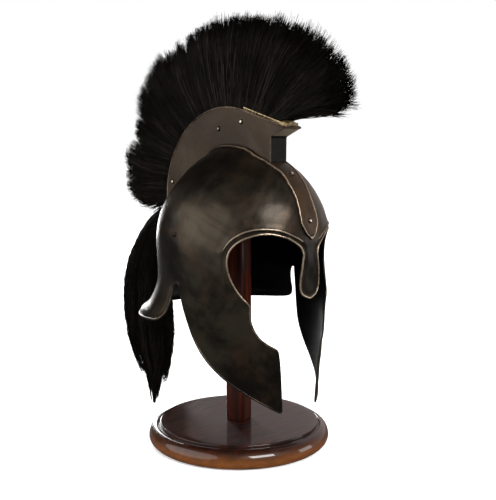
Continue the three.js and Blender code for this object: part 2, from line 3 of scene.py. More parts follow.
import bmesh
import bpy
import numpy as np
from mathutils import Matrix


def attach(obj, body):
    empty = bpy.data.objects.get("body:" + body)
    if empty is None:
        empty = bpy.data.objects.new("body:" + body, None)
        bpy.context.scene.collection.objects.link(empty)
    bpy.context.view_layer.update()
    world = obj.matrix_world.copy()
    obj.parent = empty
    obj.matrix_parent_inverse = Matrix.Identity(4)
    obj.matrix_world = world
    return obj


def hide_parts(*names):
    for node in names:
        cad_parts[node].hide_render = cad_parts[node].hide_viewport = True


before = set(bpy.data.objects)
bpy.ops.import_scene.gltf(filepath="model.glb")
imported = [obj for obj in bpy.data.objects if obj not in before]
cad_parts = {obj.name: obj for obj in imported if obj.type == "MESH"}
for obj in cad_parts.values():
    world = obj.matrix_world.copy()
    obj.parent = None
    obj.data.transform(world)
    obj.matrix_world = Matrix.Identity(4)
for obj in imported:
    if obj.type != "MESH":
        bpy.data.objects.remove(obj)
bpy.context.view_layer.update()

# The studio: a white surround, a broad softbox before the helmet, a tall one behind it that draws a bright
# line down its back, and dim ones at both sides. What shines sees a dim room with a lighter wall behind the
# helmet instead of the white, so that the patina stays deep.
CAMERA_PLACE = (-0.729389, -0.755307, 0.380364)
CAMERA_TURN = math.radians(-44.64)
CAMERA_PITCH = math.radians(7.3207)
CAMERA_LENS = 61.1
SURROUND = (1, 1, 1, 1)
ROOM_DARK = (0.024, 0.020, 0.017, 1)
WALL_LIGHT = (0.62, 0.54, 0.52, 1)
WALL_UPWARD = 0.25
# how far backward and how far to the right a ray heads where the wall's light starts and where it is full
WALL_BACKWARD = (0.1, 0.8)
WALL_EDGE = (-0.078, -0.062)
WALL_RISE = (-0.05, 0.25)
WALL_EDGE_SHARE = 0.4
SOFTBOXES = (
    # name, shape, place, aim, width, height, watts
    ("softbox_front", "RECTANGLE", (-0.45, -2.0, 1.5), (0, 0, 0.2), 1.2, 0.8, 50),
    ("softbox_behind", "RECTANGLE", (0.88, 2.1, 1.1), (0, 0, 0.35), 0.34, 2.4, 56),
    ("softbox_right", "ELLIPSE", (-2.07, 0.75, 1.0), (0, 0, 0.3), 3.6, 2.6, 42),
    ("softbox_left", "RECTANGLE", (1.7, -1.7, 0.45), (0, 0, 0.25), 0.9, 0.9, 9),
)

camera_data = bpy.data.cameras.new("camera")
camera_data.sensor_fit = "HORIZONTAL"
camera_data.sensor_width = 36
camera_data.lens = CAMERA_LENS
camera = bpy.data.objects.new("camera", camera_data)
camera.location = CAMERA_PLACE
camera.rotation_euler = (math.pi / 2 - CAMERA_PITCH, 0, CAMERA_TURN)
bpy.context.scene.collection.objects.link(camera)
bpy.context.scene.camera = camera
bpy.context.scene.view_settings.view_transform = "Standard"


def add(tree, kind, settings=None, **sockets):
    """A shader node. Settings are its properties; sockets are its inputs by name, a value or an output."""
    node = tree.nodes.new("ShaderNode" + kind)
    for key, value in (settings or {}).items():
        setattr(node, key, value)
    for key, value in sockets.items():
        fill(tree, node.inputs[key.replace("_", " ")], value)
    return node


def fill(tree, socket, value):
    """Links an output to the socket, or sets the socket to a plain value."""
    if isinstance(value, bpy.types.NodeSocket):
        tree.links.new(value, socket)
    else:
        socket.default_value = value


def calc(tree, operation, *values):
    """The result of a math node on two or three values or outputs."""
    node = add(tree, "Math", {"operation": operation})
    for socket, value in zip(node.inputs, values):
        fill(tree, socket, value)
    return node.outputs[0]


def blend_colour(tree, share, first, second):
    """Two colours mixed by a share, 0 for the first."""
    node = add(tree, "Mix", {"data_type": "RGBA"}, Factor=share)
    fill(tree, node.inputs[6], first)
    fill(tree, node.inputs[7], second)
    return node.outputs[2]


def ramp(tree, value, low, high):
    """A value stretched so that low gives 0 and high gives 1, smoothed and clamped."""
    return add(tree, "MapRange", {"interpolation_type": "SMOOTHSTEP"}, Value=value, From_Min=low,
               From_Max=high).outputs["Result"]


world = bpy.data.worlds.new("studio")
world.use_nodes = True
bpy.context.scene.world = world
sky = world.node_tree
sky.nodes.clear()
ray = add(sky, "TexCoord").outputs["Generated"]
heading = []
for way in ((-math.sin(CAMERA_TURN), math.cos(CAMERA_TURN), WALL_UPWARD),
            (math.cos(CAMERA_TURN), math.sin(CAMERA_TURN), 0)):
    dot = add(sky, "VectorMath", {"operation": "DOT_PRODUCT"})
    fill(sky, dot.inputs[0], ray)
    fill(sky, dot.inputs[1], way)
    heading.append(dot.outputs["Value"])
backward, rightward = heading
wall = calc(sky, "MULTIPLY_ADD", ramp(sky, rightward, *WALL_RISE), 1 - WALL_EDGE_SHARE, WALL_EDGE_SHARE)
wall = calc(sky, "MULTIPLY", wall, ramp(sky, rightward, *WALL_EDGE))
wall = calc(sky, "MULTIPLY", wall, ramp(sky, backward, *WALL_BACKWARD))
room = blend_colour(sky, wall, ROOM_DARK, WALL_LIGHT)
seen = blend_colour(sky, add(sky, "LightPath").outputs["Is Glossy Ray"], SURROUND, room)
add(sky, "OutputWorld", Surface=add(sky, "Background", Color=seen).outputs[0])

for name, shape, place, aim, width, height, watts in SOFTBOXES:
    light_data = bpy.data.lights.new(name, "AREA")
    light_data.shape = shape
    light_data.size = width
    light_data.size_y = height
    light_data.energy = watts
    light = bpy.data.objects.new(name, light_data)
    light.location = place
    away = np.array(place) - np.array(aim)
    light.rotation_euler = (math.atan2(math.hypot(away[0], away[1]), away[2]), 0,
                            math.atan2(away[0], -away[1]))
    bpy.context.scene.collection.objects.link(light)

# The floor: a plain pale ground that runs far past the frame and gives off a little light, so that it stays
# white round the stand. What shines sees it dark, like a table in the dim room.
FLOOR_HALF = 60000
FLOOR_PALE = (0.93, 0.93, 0.93, 1)
FLOOR_MIRRORED = (0.06, 0.06, 0.06, 1)
FLOOR_GLOW = 0.25
MM = 0.001


def principled(name, **sockets):
    """A new material with a Principled BSDF; gives the material, its tree and the shader node."""
    material = bpy.data.materials.new(name)
    material.use_nodes = True
    tree = material.node_tree
    tree.nodes.clear()
    shader = add(tree, "BsdfPrincipled", None, **sockets)
    add(tree, "OutputMaterial", Surface=shader.outputs[0])
    return material, tree, shader


def new_piece(name, points, *faces):
    """A smooth mesh object from points in millimetres and arrays of faces, one row of corners a face."""
    corners = np.concatenate([f.ravel() for f in faces]).astype(np.int32)
    counts = np.concatenate([np.full(len(f), f.shape[1]) for f in faces])
    mesh = bpy.data.meshes.new(name)
    mesh.vertices.add(len(points))
    mesh.vertices.foreach_set("co", (np.asarray(points) * MM).astype(np.float32).ravel())
    mesh.loops.add(len(corners))
    mesh.loops.foreach_set("vertex_index", corners)
    mesh.polygons.add(len(counts))
    mesh.polygons.foreach_set("loop_start", (np.cumsum(counts) - counts).astype(np.int32))
    mesh.polygons.foreach_set("use_smooth", np.ones(len(counts), bool))
    mesh.update(calc_edges=True)
    mesh.validate()
    piece = bpy.data.objects.new(name, mesh)
    bpy.context.scene.collection.objects.link(piece)
    return piece


floor = new_piece("floor", FLOOR_HALF * np.array([(-1, -1, 0), (1, -1, 0), (1, 1, 0), (-1, 1, 0)]),
                  np.array([[0, 1, 2, 3]]))
floor_paint, tree, shader = principled("pale_floor", Roughness=0.9, Specular_IOR_Level=0.1,
                                       Emission_Color=(1, 1, 1, 1))
mirrored_floor = add(tree, "LightPath").outputs["Is Glossy Ray"]
fill(tree, shader.inputs["Base Color"], blend_colour(tree, mirrored_floor, FLOOR_PALE, FLOOR_MIRRORED))
fill(tree, shader.inputs["Emission Strength"],
     calc(tree, "MULTIPLY_ADD", mirrored_floor, -FLOOR_GLOW, FLOOR_GLOW))
floor.data.materials.append(floor_paint)

# The turned base: one disc of mahogany with a raised flat top, a cove round it and a bullnose edge,
# finished in deep red-brown gloss lacquer.
BASE_RADIUS = 115
BASE_HEIGHT = 27
BASE_FOOT_RADIUS = 103
BASE_DISC_RADIUS = 101
BASE_BULGE_HEIGHT = 10
BASE_GROOVE = 2.5
BASE_STEP = 3.5
BASE_COVE = (1.3, 0.9)
BASE_COVE_LIFT = 0.4
BASE_ROUND = 1.2
BASE_FLAT_RINGS = (90, 60, 25)
BASE_SECTORS = 144
# height in metres below which the base is painted a lighter orange, as light from the floor
BASE_FLOOR_LIGHT_HEIGHT = 0.024
WOOD_DARK = (0.006, 0.0014, 0.0008, 1)
WOOD_RED = (0.032, 0.0060, 0.0022, 1)
# the lighter orange painted on the lowest part of the wood: painted light thrown up from the floor
WOOD_FLOOR_LIGHT_ORANGE = (0.125, 0.037, 0.004, 1)


def noise(tree, place, scale, detail, **more):
    """The value of a noise texture at a place."""
    return add(tree, "TexNoise", Vector=place, Scale=scale, Detail=detail, **more).outputs["Fac"]


def surface(tree, shader, colour, grain, strength, depth):
    """Gives the shader its colour, and a bump from a grain with a strength and a depth in metres."""
    fill(tree, shader.inputs["Base Color"], colour)
    fill(tree, shader.inputs["Normal"],
         add(tree, "Bump", Strength=strength, Distance=depth, Height=grain).outputs[0])


def weld(piece, reach=0.01, turn_out=True):
    """Joins points nearer than the reach in millimetres and turns a closed skin's faces outward."""
    work = bmesh.new()
    work.from_mesh(piece.data)
    bmesh.ops.remove_doubles(work, verts=work.verts, dist=reach * MM)
    if turn_out:
        bmesh.ops.recalc_face_normals(work, faces=work.faces)
    work.to_mesh(piece.data)
    work.free()
    return piece


def grid_faces(rows, columns, wrap_rows=False, wrap_columns=False):
    """Quads over a grid of points stored row by row; a wrapped side joins its last line to its first."""
    row = np.arange(rows if wrap_rows else rows - 1)[:, None]
    column = np.arange(columns if wrap_columns else columns - 1)[None, :]
    next_row = (row + 1) % rows
    next_column = (column + 1) % columns
    quad = [row * columns + column, next_row * columns + column,
            next_row * columns + next_column, row * columns + next_column]
    return np.stack(np.broadcast_arrays(*quad), -1).reshape(-1, 4)


def dress(piece, material, slot, *nodes):
    """Gives the piece its material, sets it on the part's one body and hides the CAD nodes it stands for."""
    piece.data.materials.append(material)
    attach(piece, "root")
    if nodes:
        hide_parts(*nodes)


def full_turn(count):
    """Evenly spread angles of one whole turn, in radians."""
    return np.linspace(0, 2 * np.pi, count, endpoint=False)


def cos_sin(angle):
    """Pairs (cosine, sine) of angles, along a new last axis."""
    return np.stack([np.cos(angle), np.sin(angle)], -1)


def lathe(profile, sectors):
    """Points (radius cos a, radius sin a, height) for each profile point and each angle a round +Z."""
    radius, height = np.asarray(profile, float).T[..., None, None]
    flat = radius * cos_sin(full_turn(sectors))
    return np.concatenate([flat, height + 0 * flat[..., :1]], -1).reshape(-1, 3)


def arc(centre_r, centre_z, radius_r, radius_z, start_deg, end_deg, count):
    """Points of an ellipse arc in the profile plane, from one angle to the other."""
    angle = np.radians(np.linspace(start_deg, end_deg, count))
    return (centre_r, centre_z) + (radius_r, radius_z) * cos_sin(angle)


def lacquered_wood(name, grain_scale, red_tone, floor_light_height, coat_weight, coat_blur):
    """Mahogany under clear gloss: dark pores and red bands along the grain, a smooth coat over both.
    Below the floor light height, in metres, the colour turns a lighter orange: painted light from the pale
    floor below."""
    material, tree, shader = principled(name, Coat_Weight=coat_weight, Coat_Roughness=coat_blur,
                                        Coat_IOR=1.5, Specular_IOR_Level=0.2)
    place = add(tree, "TexCoord").outputs["Object"]
    stretched = add(tree, "Mapping", Vector=place, Scale=grain_scale).outputs[0]
    bands = noise(tree, stretched, 14.0, 6.0, Distortion=0.4)
    red = ramp(tree, bands, 0.30, 0.74)
    pore_mask = ramp(tree, noise(tree, stretched, 60.0, 3.0), 0.42, 0.6)
    amount = calc(tree, "MULTIPLY", red, calc(tree, "MULTIPLY_ADD", pore_mask, 0.5, 0.5))
    height = add(tree, "SeparateXYZ", Vector=place).outputs["Z"]
    # Painted light: towards the bottom the colour turns a lighter orange, standing for light thrown up by the
    # floor.
    floor_light = calc(tree, "MULTIPLY", ramp(tree, height, floor_light_height, 0.3 * floor_light_height),
                calc(tree, "MULTIPLY_ADD", red, 0.35, 0.65))
    stained = blend_colour(tree, amount, WOOD_DARK, red_tone)
    fill(tree, shader.inputs["Roughness"], calc(tree, "MULTIPLY_ADD", pore_mask, -0.12, 0.42))
    surface(tree, shader, blend_colour(tree, floor_light, stained, WOOD_FLOOR_LIGHT_ORANGE), bands, 0.04, 0.0006)
    return material


nose_inner = BASE_DISC_RADIUS + BASE_GROOVE
nose_top = BASE_HEIGHT - BASE_STEP
nose_reach = BASE_RADIUS - nose_inner
disc_edge = BASE_HEIGHT - BASE_ROUND
base_profile = np.concatenate([
    [(0, 0), (BASE_FLAT_RINGS[1], 0), (BASE_FOOT_RADIUS, 0)],
    arc(nose_inner, BASE_BULGE_HEIGHT, nose_reach, BASE_BULGE_HEIGHT, -86, 0, 16),
    arc(nose_inner, BASE_BULGE_HEIGHT, nose_reach, nose_top - BASE_BULGE_HEIGHT, 4, 88, 18),
    arc(BASE_DISC_RADIUS + BASE_COVE[0], nose_top - BASE_COVE_LIFT, *BASE_COVE, -20, -160, 7),
    [(BASE_DISC_RADIUS, nose_top), (BASE_DISC_RADIUS, disc_edge)],
    arc(BASE_DISC_RADIUS - BASE_ROUND, disc_edge, BASE_ROUND, BASE_ROUND, 10, 90, 6),
    [(ring, BASE_HEIGHT) for ring in BASE_FLAT_RINGS], [(0, BASE_HEIGHT)],
])
stand_base = weld(new_piece("lacquered_base", lathe(base_profile, BASE_SECTORS),
                            grid_faces(len(base_profile), BASE_SECTORS, wrap_columns=True)))
dress(stand_base, lacquered_wood("base_lacquer", (0.7, 6.0, 6.0), WOOD_RED, BASE_FLOOR_LIGHT_HEIGHT, 0.75, 0.025),
      "lacquered_wood", "stand_base")

# The post: a square mahogany length with rounded corners and a tiny chamfer at both ends, glued upright on
# the disc and lacquered with it.
POST_WIDTH = 25
POST_CORNER = 3.5
POST_CORNER_STEPS = 9
POST_TURN = math.radians(14)
POST_TOP = 335
POST_SEAT = 0.3
POST_CHAMFER = 0.6
POST_END_SHARE = 0.97
POST_RINGS = (120, 220)
POST_FLOOR_LIGHT_HEIGHT = 0.001
POST_RED = (0.070, 0.0095, 0.0025, 1)


def point_values(piece, attribute_name, values):
    """Stores one value a point, which the piece's material reads by the attribute's name."""
    attribute = piece.data.attributes.new(attribute_name, "FLOAT", "POINT")
    attribute.data.foreach_set("value", np.broadcast_to(values, len(piece.data.vertices)).astype(np.float32))


def loft(name, rings, wear_and_painted_light=None):
    """A closed piece through rings of points (rings, corners, xyz), each end drawn together to its middle.
    It has one wear and painted light value for each point of the rings."""
    ends = np.repeat(rings[[0, -1]].mean(1)[:, None], rings.shape[1], 1)
    rings = np.concatenate([ends[:1], rings, ends[1:]])
    piece = new_piece(name, rings.reshape(-1, 3), grid_faces(*rings.shape[:2], wrap_columns=True))
    if wear_and_painted_light is not None:
        point_values(piece, "wear_and_painted_light", np.concatenate([wear_and_painted_light[:1], wear_and_painted_light, wear_and_painted_light[-1:]]).ravel())
    return weld(piece)


corner_angle = np.radians(np.arange(4)[:, None] * 90 + np.linspace(0, 90, POST_CORNER_STEPS)).ravel()
corner_sign = np.repeat([[1, 1], [-1, 1], [-1, -1], [1, -1]], POST_CORNER_STEPS, 0)
post_outline = (corner_sign * (POST_WIDTH / 2 - POST_CORNER)
                + POST_CORNER * cos_sin(corner_angle))
post_outline = post_outline @ np.array([[np.cos(POST_TURN), np.sin(POST_TURN)],
                                        [-np.sin(POST_TURN), np.cos(POST_TURN)]])
post_foot = BASE_HEIGHT + POST_SEAT
post_heights = (post_foot, post_foot + POST_CHAMFER, *POST_RINGS, POST_TOP - POST_CHAMFER, POST_TOP)
post_shares = (POST_END_SHARE, 1, *np.ones(len(POST_RINGS)), 1, POST_END_SHARE)
post_rings = np.stack([np.column_stack([post_outline * share, np.full(len(post_outline), height)])
                       for height, share in zip(post_heights, post_shares)])
dress(loft("lacquered_post", post_rings),
      lacquered_wood("post_lacquer", (6.0, 6.0, 0.35), POST_RED, POST_FLOOR_LIGHT_HEIGHT, 0.22, 0.10),
      "lacquered_wood", "stand_post")

# The block that the crown rests on: plain sawn wood on top of the post, hidden inside the helmet. It is the
# CAD solid itself, given a finish.
BLOCK_DARK = (0.055, 0.026, 0.012, 1)
BLOCK_LIGHT = (0.20, 0.11, 0.055, 1)
sawn, tree, shader = principled("sawn_wood", Roughness=0.75)
sawn_place = add(tree, "Mapping", Vector=add(tree, "TexCoord").outputs["Object"], Scale=(8.0, 1.0, 8.0))
sawn_grain = noise(tree, sawn_place.outputs[0], 22.0, 6.0)
surface(tree, shader, blend_colour(tree, sawn_grain, BLOCK_DARK, BLOCK_LIGHT), sawn_grain, 0.4, 0.001)
rest_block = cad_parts["post_rest"]
rest_block.data.materials.clear()
rest_block.data.materials.append(sawn)

# The helmet's sheet: skull, neck guard, cheek pieces and nasal raised by hammer from one piece of bronze,
# with a swelling under the rib over each eye. The patina is near black, with brown and olive clouds.
WALL = 2.0
RELIEF_INSIDE = 0.6
SECTION_CENTRE_Y = 2.0
CHART = 100.0
TABLE_ROWS = 3000
# height, cheek half width, front, neck half width, rear
SECTIONS = np.array([
    (377, 0, 2, 0, 2), (371.5, 24, -31, 24, 30), (362, 41, -51, 41, 45), (354.5, 51, -69, 51, 56),
    (343, 63, -87, 63, 68), (325, 79, -102, 79, 81), (305, 93, -112, 93, 92),
    (285, 100.5, -117.5, 100.5, 97.5), (265, 103.5, -120, 103.5, 99.5), (240, 103, -121, 103, 98.5),
    (217, 102, -120, 102, 99), (204, 101, -119.5, 103.5, 102.5), (192, 100, -119, 106.5, 108),
    (180, 98.5, -118, 111.5, 118), (167, 96.5, -117.5, 118, 134), (137, 92, -115.5, 120, 138),
    (100, 88, -113, 120, 138), (50, 83, -110, 120, 138),
], float)
# y and z of the edges in side view, x and z of the nasal's edge in front view
EDGE_EYE = [(-118.8, 262), (-113.5, 272), (-101, 277.5), (-84, 272), (-72, 260), (-68, 244),
            (-71, 226), (-79, 208), (-88.5, 194.5)]
EDGE_CHEEK_FRONT = [(-88.5, 194.5), (-86.8, 182), (-88.5, 168), (-94, 154), (-105, 141)]
EDGE_CHEEK_DROP = [(-105, 141), (-105, 122), (-104.2, 90), (-103.5, 64)]
EDGE_CHEEK_REAR = [(-103.5, 64), (-94, 74), (-76, 89), (-54, 106), (-34, 125), (-20, 147), (-11, 176),
                   (-6, 200), (-3, 218)]
EDGE_NECK = [(-3, 218), (4.5, 212), (7.5, 198), (9.5, 183), (16, 173.5), (30, 169.5), (60, 167),
             (100, 165), (136, 164)]
EDGE_NASAL = [(0, 200), (12, 205), (15.8, 213), (15.6, 224), (13.6, 240), (11.5, 252)]
EDGE_SPACING = 1.6
EDGE_ROUNDING = 5
ABOVE_ALL = 400
BROW_RIB = [(-63, 256), (-71, 269), (-80, 277), (-88, 281), (-97, 282.5), (-106, 281.5), (-112, 278),
            (-116.5, 272.5), (-118.6, 268), (-119.4, 265)]
RIB_SWELL = 0.9
RIB_SWELL_HALF = 4.2
# height, way in from the line and half width of the rub along the rib and of the groove behind the edge
RIB_RUB = (0.30, 0, 2.0)
EDGE_GROOVE = (-0.5, 3.4, 1.5)
EDGE_RUB = 0.25
EDGE_RUB_REACH = 1.5
DENT_HEIGHT = 0.22
# strength, then for each of two crossed sines its lengths a radian along x, y and z and its phase
DENT_WAVES = ((1.0, (7.1, np.inf, 9.3), 1.3, (np.inf, 8.2, -11.7), 0.0),
              (0.6, (4.3, -5.1, np.inf), 0.4, (np.inf, 9.9, 5.7), 0.0),
              (0.8, (17.0, np.inf, 15.0), 2.0, (np.inf, np.inf, np.inf), math.pi / 2))
# start, end and count of the grid's turns from the front to the rear; its rows run down the section table
# at the crown and then by height, as start, end and step
TURN_STEPS = ((0, 1.30, 98), (1.30, 1.75, 22), (1.75, np.pi, 40))
CROWN_SECTIONS = 5.2
CROWN_ROWS = 30
HEIGHT_STEPS = ((312, 292, -3.0), (292, 186, -1.7), (186, 58, -2.6))
# the inside of the sheet is darkened to near-black: painted shade
INSIDE_PAINTED_SHADE = -0.9
BRONZE_BLACK = (0.013, 0.010, 0.008, 1)
BRONZE_OLIVE = (0.057, 0.046, 0.032, 1)
BRONZE_BROWN = (0.060, 0.034, 0.019, 1)
# the bright worn bronze, also used for painted highlights and reflections
BRONZE_WORN_AND_PAINTED_LIGHT = (0.50, 0.39, 0.28, 1)
# the near-black for negative values: painted shade inside the helmet, and the crest's darker front plate
DARKENED_BLACK = (0.0015, 0.0013, 0.0012, 1)


def smooth_run(rows, place):
    """A smooth cubic run through the rows, at places counted in rows. The slope at a row is half the step
    between its two neighbours; the end rows are doubled."""
    rows = np.asarray(rows, float)
    last = len(rows) - 1
    place = np.clip(np.asarray(place, float), 0, last - 1e-9)
    step = place.astype(int)
    w = (place - step)[..., None]
    before, start, end, after = (rows[np.clip(step + k, 0, last)] for k in (-1, 0, 1, 2))
    enter, leave = (end - before) / 2, (after - start) / 2
    return ((2 * start - 2 * end + enter + leave) * w ** 3
            + (3 * end - 3 * start - 2 * enter - leave) * w ** 2 + enter * w + start)


def form_point(place, turn):
    """The outer surface: x is minus half width times sine, y runs from the centre by reach times cosine.
    The turn is 0 at the front and grows to the wearer's right; the place runs down the section table."""
    z, cheek, front, neck, rear = np.moveaxis(smooth_run(SECTIONS, place), -1, 0)
    forward = np.cos(turn)
    half = np.where(forward > 0, cheek, neck)
    reach = np.where(forward > 0, SECTION_CENTRE_Y - front, rear - SECTION_CENTRE_Y)
    return np.stack([-half * np.sin(turn), SECTION_CENTRE_Y - reach * forward, z + 0 * turn], -1)


def unit(vectors):
    """Vectors of length 1 along the last axis."""
    return vectors / np.maximum(np.linalg.norm(vectors, axis=-1, keepdims=True), 1e-12)


def form_normal(place, turn):
    """The outward normal: the cross product of the two tangents, each a small central difference."""
    step = 1e-3
    up = form_point(np.maximum(place - step, 0), turn) - form_point(place + step, turn)
    round_about = form_point(place, turn + step) - form_point(place, turn - step)
    outward = unit(np.cross(up, round_about))
    return np.where(np.asarray(place)[..., None] < 2 * step, [0.0, 0.0, 1.0], outward)


section_steps = np.linspace(0, len(SECTIONS) - 1.001, TABLE_ROWS)
section_table = smooth_run(SECTIONS, section_steps)


def at_height(z, column):
    """A column of the section table at a height."""
    return np.interp(z, section_table[::-1, 0], section_table[::-1, column])


def place_at(z):
    """The place down the section table at a height."""
    return np.interp(z, section_table[::-1, 0], section_steps[::-1])


def side_chart(run, count):
    """An edge drawn in side view, as chart points: turn times the chart's scale, and height."""
    y, z = smooth_run(run, np.linspace(0, len(run) - 1, count)).T
    front_share = (SECTION_CENTRE_Y - y) / (SECTION_CENTRE_Y - at_height(z, 2))
    rear_share = (y - SECTION_CENTRE_Y) / (at_height(z, 4) - SECTION_CENTRE_Y)
    cosine = np.where(y < SECTION_CENTRE_Y, front_share, -rear_share)
    return np.stack([CHART * np.arccos(np.clip(cosine, -1, 1)), z], -1)


def front_chart(run, count):
    """An edge drawn in front view, as chart points."""
    x, z = smooth_run(run, np.linspace(0, len(run) - 1, count)).T
    return np.stack([CHART * np.arcsin(np.clip(x / at_height(z, 1), -1, 1)), z], -1)


def even(line, spacing, closed=False):
    """A line of points resampled to an even spacing along its length."""
    if closed:
        line = np.concatenate([line, line[:1]])
    along = np.concatenate([[0], np.cumsum(np.linalg.norm(np.diff(line, axis=0), axis=1))])
    stations = np.linspace(0, along[-1], max(int(round(along[-1] / spacing)), 2) + 1)
    if closed:
        stations = stations[:-1]
    return np.stack([np.interp(stations, along, line[:, k]) for k in range(line.shape[1])], -1)


def relax(line, rounds, closed=False):
    """Rounds a line's corners: each point moves half way to the middle of its neighbours, round by round."""
    for _ in range(rounds):
        moved = line / 2 + (np.roll(line, 1, 0) + np.roll(line, -1, 0)) / 4
        if not closed:
            moved[0], moved[-1] = line[0], line[-1]
        line = moved
    return line


def edge_distance(points, line):
    """The distance from each point to a line of points, and the nearest point on it."""
    start, run = line[:-1], np.diff(line, axis=0)
    length2 = np.maximum((run ** 2).sum(-1), 1e-12)
    best = np.zeros(len(points))
    nearest = np.zeros_like(points)
    for part in np.array_split(np.arange(len(points)), max(len(points) // 4000, 1)):
        gap = points[part][:, None] - start[None]
        share = np.clip((gap * run).sum(-1) / length2, 0, 1)
        foot = start + share[..., None] * run
        distance = np.linalg.norm(points[part][:, None] - foot, axis=-1)
        pick = distance.argmin(1)
        best[part] = distance[np.arange(len(part)), pick]
        nearest[part] = foot[np.arange(len(part)), pick]
    return best, nearest


def inside(points, outline):
    """True where a point is inside the closed outline: a ray from it crosses the outline an odd number
    of times."""
    odd = np.zeros(len(points), bool)
    x, y = points.T
    for (x0, y0), (x1, y1) in zip(outline, np.roll(outline, -1, 0)):
        crosses = (y0 > y) != (y1 > y)
        if crosses.any():
            odd ^= crosses & (x < x0 + (y - y0) * (x1 - x0) / (y1 - y0))
    return odd


def bell(gap, height, centre, half):
    """A smooth ridge along a line: a bell curve of a height over the gap from it, with its centre there."""
    return height * np.exp(-((gap - centre) / half) ** 2)


def dents(points):
    """The slow unevenness that a hammer leaves: a sum of products of two sines along crossed directions."""
    return sum(strength * np.sin((points / first).sum(-1) + start)
               * np.sin((points / second).sum(-1) + other_start)
               for strength, first, start, second, other_start in DENT_WAVES)


right_edge = np.concatenate([
    front_chart(EDGE_NASAL, 50), side_chart(EDGE_EYE, 120), side_chart(EDGE_CHEEK_FRONT, 50)[1:],
    side_chart(EDGE_CHEEK_DROP, 50)[1:], side_chart(EDGE_CHEEK_REAR, 120)[1:],
    side_chart(EDGE_NECK, 120)[1:]])
right_edge[-1, 0] = CHART * np.pi
right_edge = relax(even(right_edge, EDGE_SPACING), EDGE_ROUNDING)
right_turns = np.concatenate([[0.0]] + [np.linspace(*row)[1:] for row in TURN_STEPS])
turns = np.concatenate([-right_turns[1:][::-1], right_turns[:-1]])
heights = np.concatenate([smooth_run(SECTIONS, np.linspace(0, CROWN_SECTIONS, CROWN_ROWS))[:, 0]]
                         + [np.arange(*row) for row in HEIGHT_STEPS])
heights = np.unique(heights)[::-1]
height_grid, turn_grid = np.meshgrid(heights, turns, indexing="ij")
chart = np.stack([CHART * np.abs(turn_grid), height_grid], -1).reshape(-1, 2)
past_rear = CHART * np.pi + 1
outline = np.concatenate([right_edge, [(past_rear, EDGE_NECK[-1][1]), (past_rear, ABOVE_ALL),
                                       (-1, ABOVE_ALL), (-1, EDGE_NASAL[0][1])]])
kept = inside(chart, outline)
edge_gap, nearest = edge_distance(chart, right_edge)
sheet_quads = grid_faces(len(heights), len(turns), wrap_columns=True)
sheet_quads = sheet_quads[kept[sheet_quads].any(1)]
chart = np.where(kept[:, None], chart, nearest)
edge_gap = np.where(kept, edge_gap, 0)
sheet_turn = np.where(turn_grid.ravel() < 0, -1, 1) * chart[:, 0] / CHART
sheet_place = place_at(chart[:, 1])
rib_line = side_chart(BROW_RIB, 90)
rib_gap, _ = edge_distance(chart, rib_line)
normal = form_normal(sheet_place, sheet_turn)
bare = form_point(sheet_place, sheet_turn)
relief = (bell(rib_gap, RIB_SWELL, 0, RIB_SWELL_HALF) + bell(edge_gap, *EDGE_GROOVE)
          + DENT_HEIGHT * dents(bare))
outer = bare + normal * relief[:, None]
inner = bare - normal * (WALL - RELIEF_INSIDE * relief)[:, None]
used, sheet_quads = np.unique(sheet_quads, return_inverse=True)
sheet_quads = sheet_quads.reshape(-1, 4)


def rim_faces(faces, offset):
    """Quads that join the free edges of one layer to the same edges of the layer numbered by the offset."""
    edges = np.concatenate([faces[:, [k, (k + 1) % 4]] for k in range(4)]).astype(np.int64)
    many = edges.max() + 1
    free = edges[~np.isin(edges @ (many, 1), edges @ (1, many))]
    return np.stack([free[:, 1], free[:, 0], free[:, 0] + offset, free[:, 1] + offset], -1)


sheet = new_piece("helmet_sheet", np.concatenate([outer[used], inner[used]]), sheet_quads,
                  sheet_quads[:, ::-1] + len(used), rim_faces(sheet_quads, len(used)))
sheet_wear = bell(rib_gap, *RIB_RUB) + EDGE_RUB * np.exp(-edge_gap / EDGE_RUB_REACH)
# The outer faces are rubbed along the rib and the edges; the inner faces take painted shade, near-black.
point_values(sheet, "wear_and_painted_light", np.concatenate([sheet_wear[used], np.full(len(used), INSIDE_PAINTED_SHADE)]))
weld(sheet, 0.002)

patina = bpy.data.node_groups.new("patina", "ShaderNodeTree")
for in_out, kind, names in (("INPUT", "Color", ("Deep", "Cloud", "Warm", "Worn")),
                            ("INPUT", "Float", ("Wear", "Roughness")), ("OUTPUT", "Color", ("Color",)),
                            ("OUTPUT", "Float", ("Roughness", "Height"))):
    for socket_name in names:
        patina.interface.new_socket(socket_name, in_out=in_out, socket_type="NodeSocket" + kind)
patina_in = patina.nodes.new("NodeGroupInput").outputs
patina_out = patina.nodes.new("NodeGroupOutput").inputs
spot = add(patina, "TexCoord").outputs["Object"]
smears = noise(patina, spot, 26.0, 6.0, Roughness=0.65)
grains = noise(patina, spot, 260.0, 4.0, Roughness=0.7)
cloud_mask = ramp(patina, noise(patina, spot, 11.0, 5.0, Roughness=0.6, Distortion=0.5), 0.40, 0.64)
warm_mask = ramp(patina, smears, 0.46, 0.68)
grain_mask = ramp(patina, grains, 0.35, 0.70)
toned = blend_colour(patina, calc(patina, "MULTIPLY", cloud_mask, 0.95), patina_in["Deep"],
                     patina_in["Cloud"])
toned = blend_colour(patina, calc(patina, "MULTIPLY", warm_mask, 0.5), toned, patina_in["Warm"])
ragged = calc(patina, "MULTIPLY", patina_in["Wear"], calc(patina, "MULTIPLY_ADD", smears, 1.3, 0.25))
# The worn colour spreads where the value is high: rubbed metal, and painted highlights and reflections where
# the value was set for them.
rubbed_and_lit = ramp(patina, calc(patina, "MULTIPLY_ADD", grain_mask, 0.12, ragged), 0.30, 0.85)
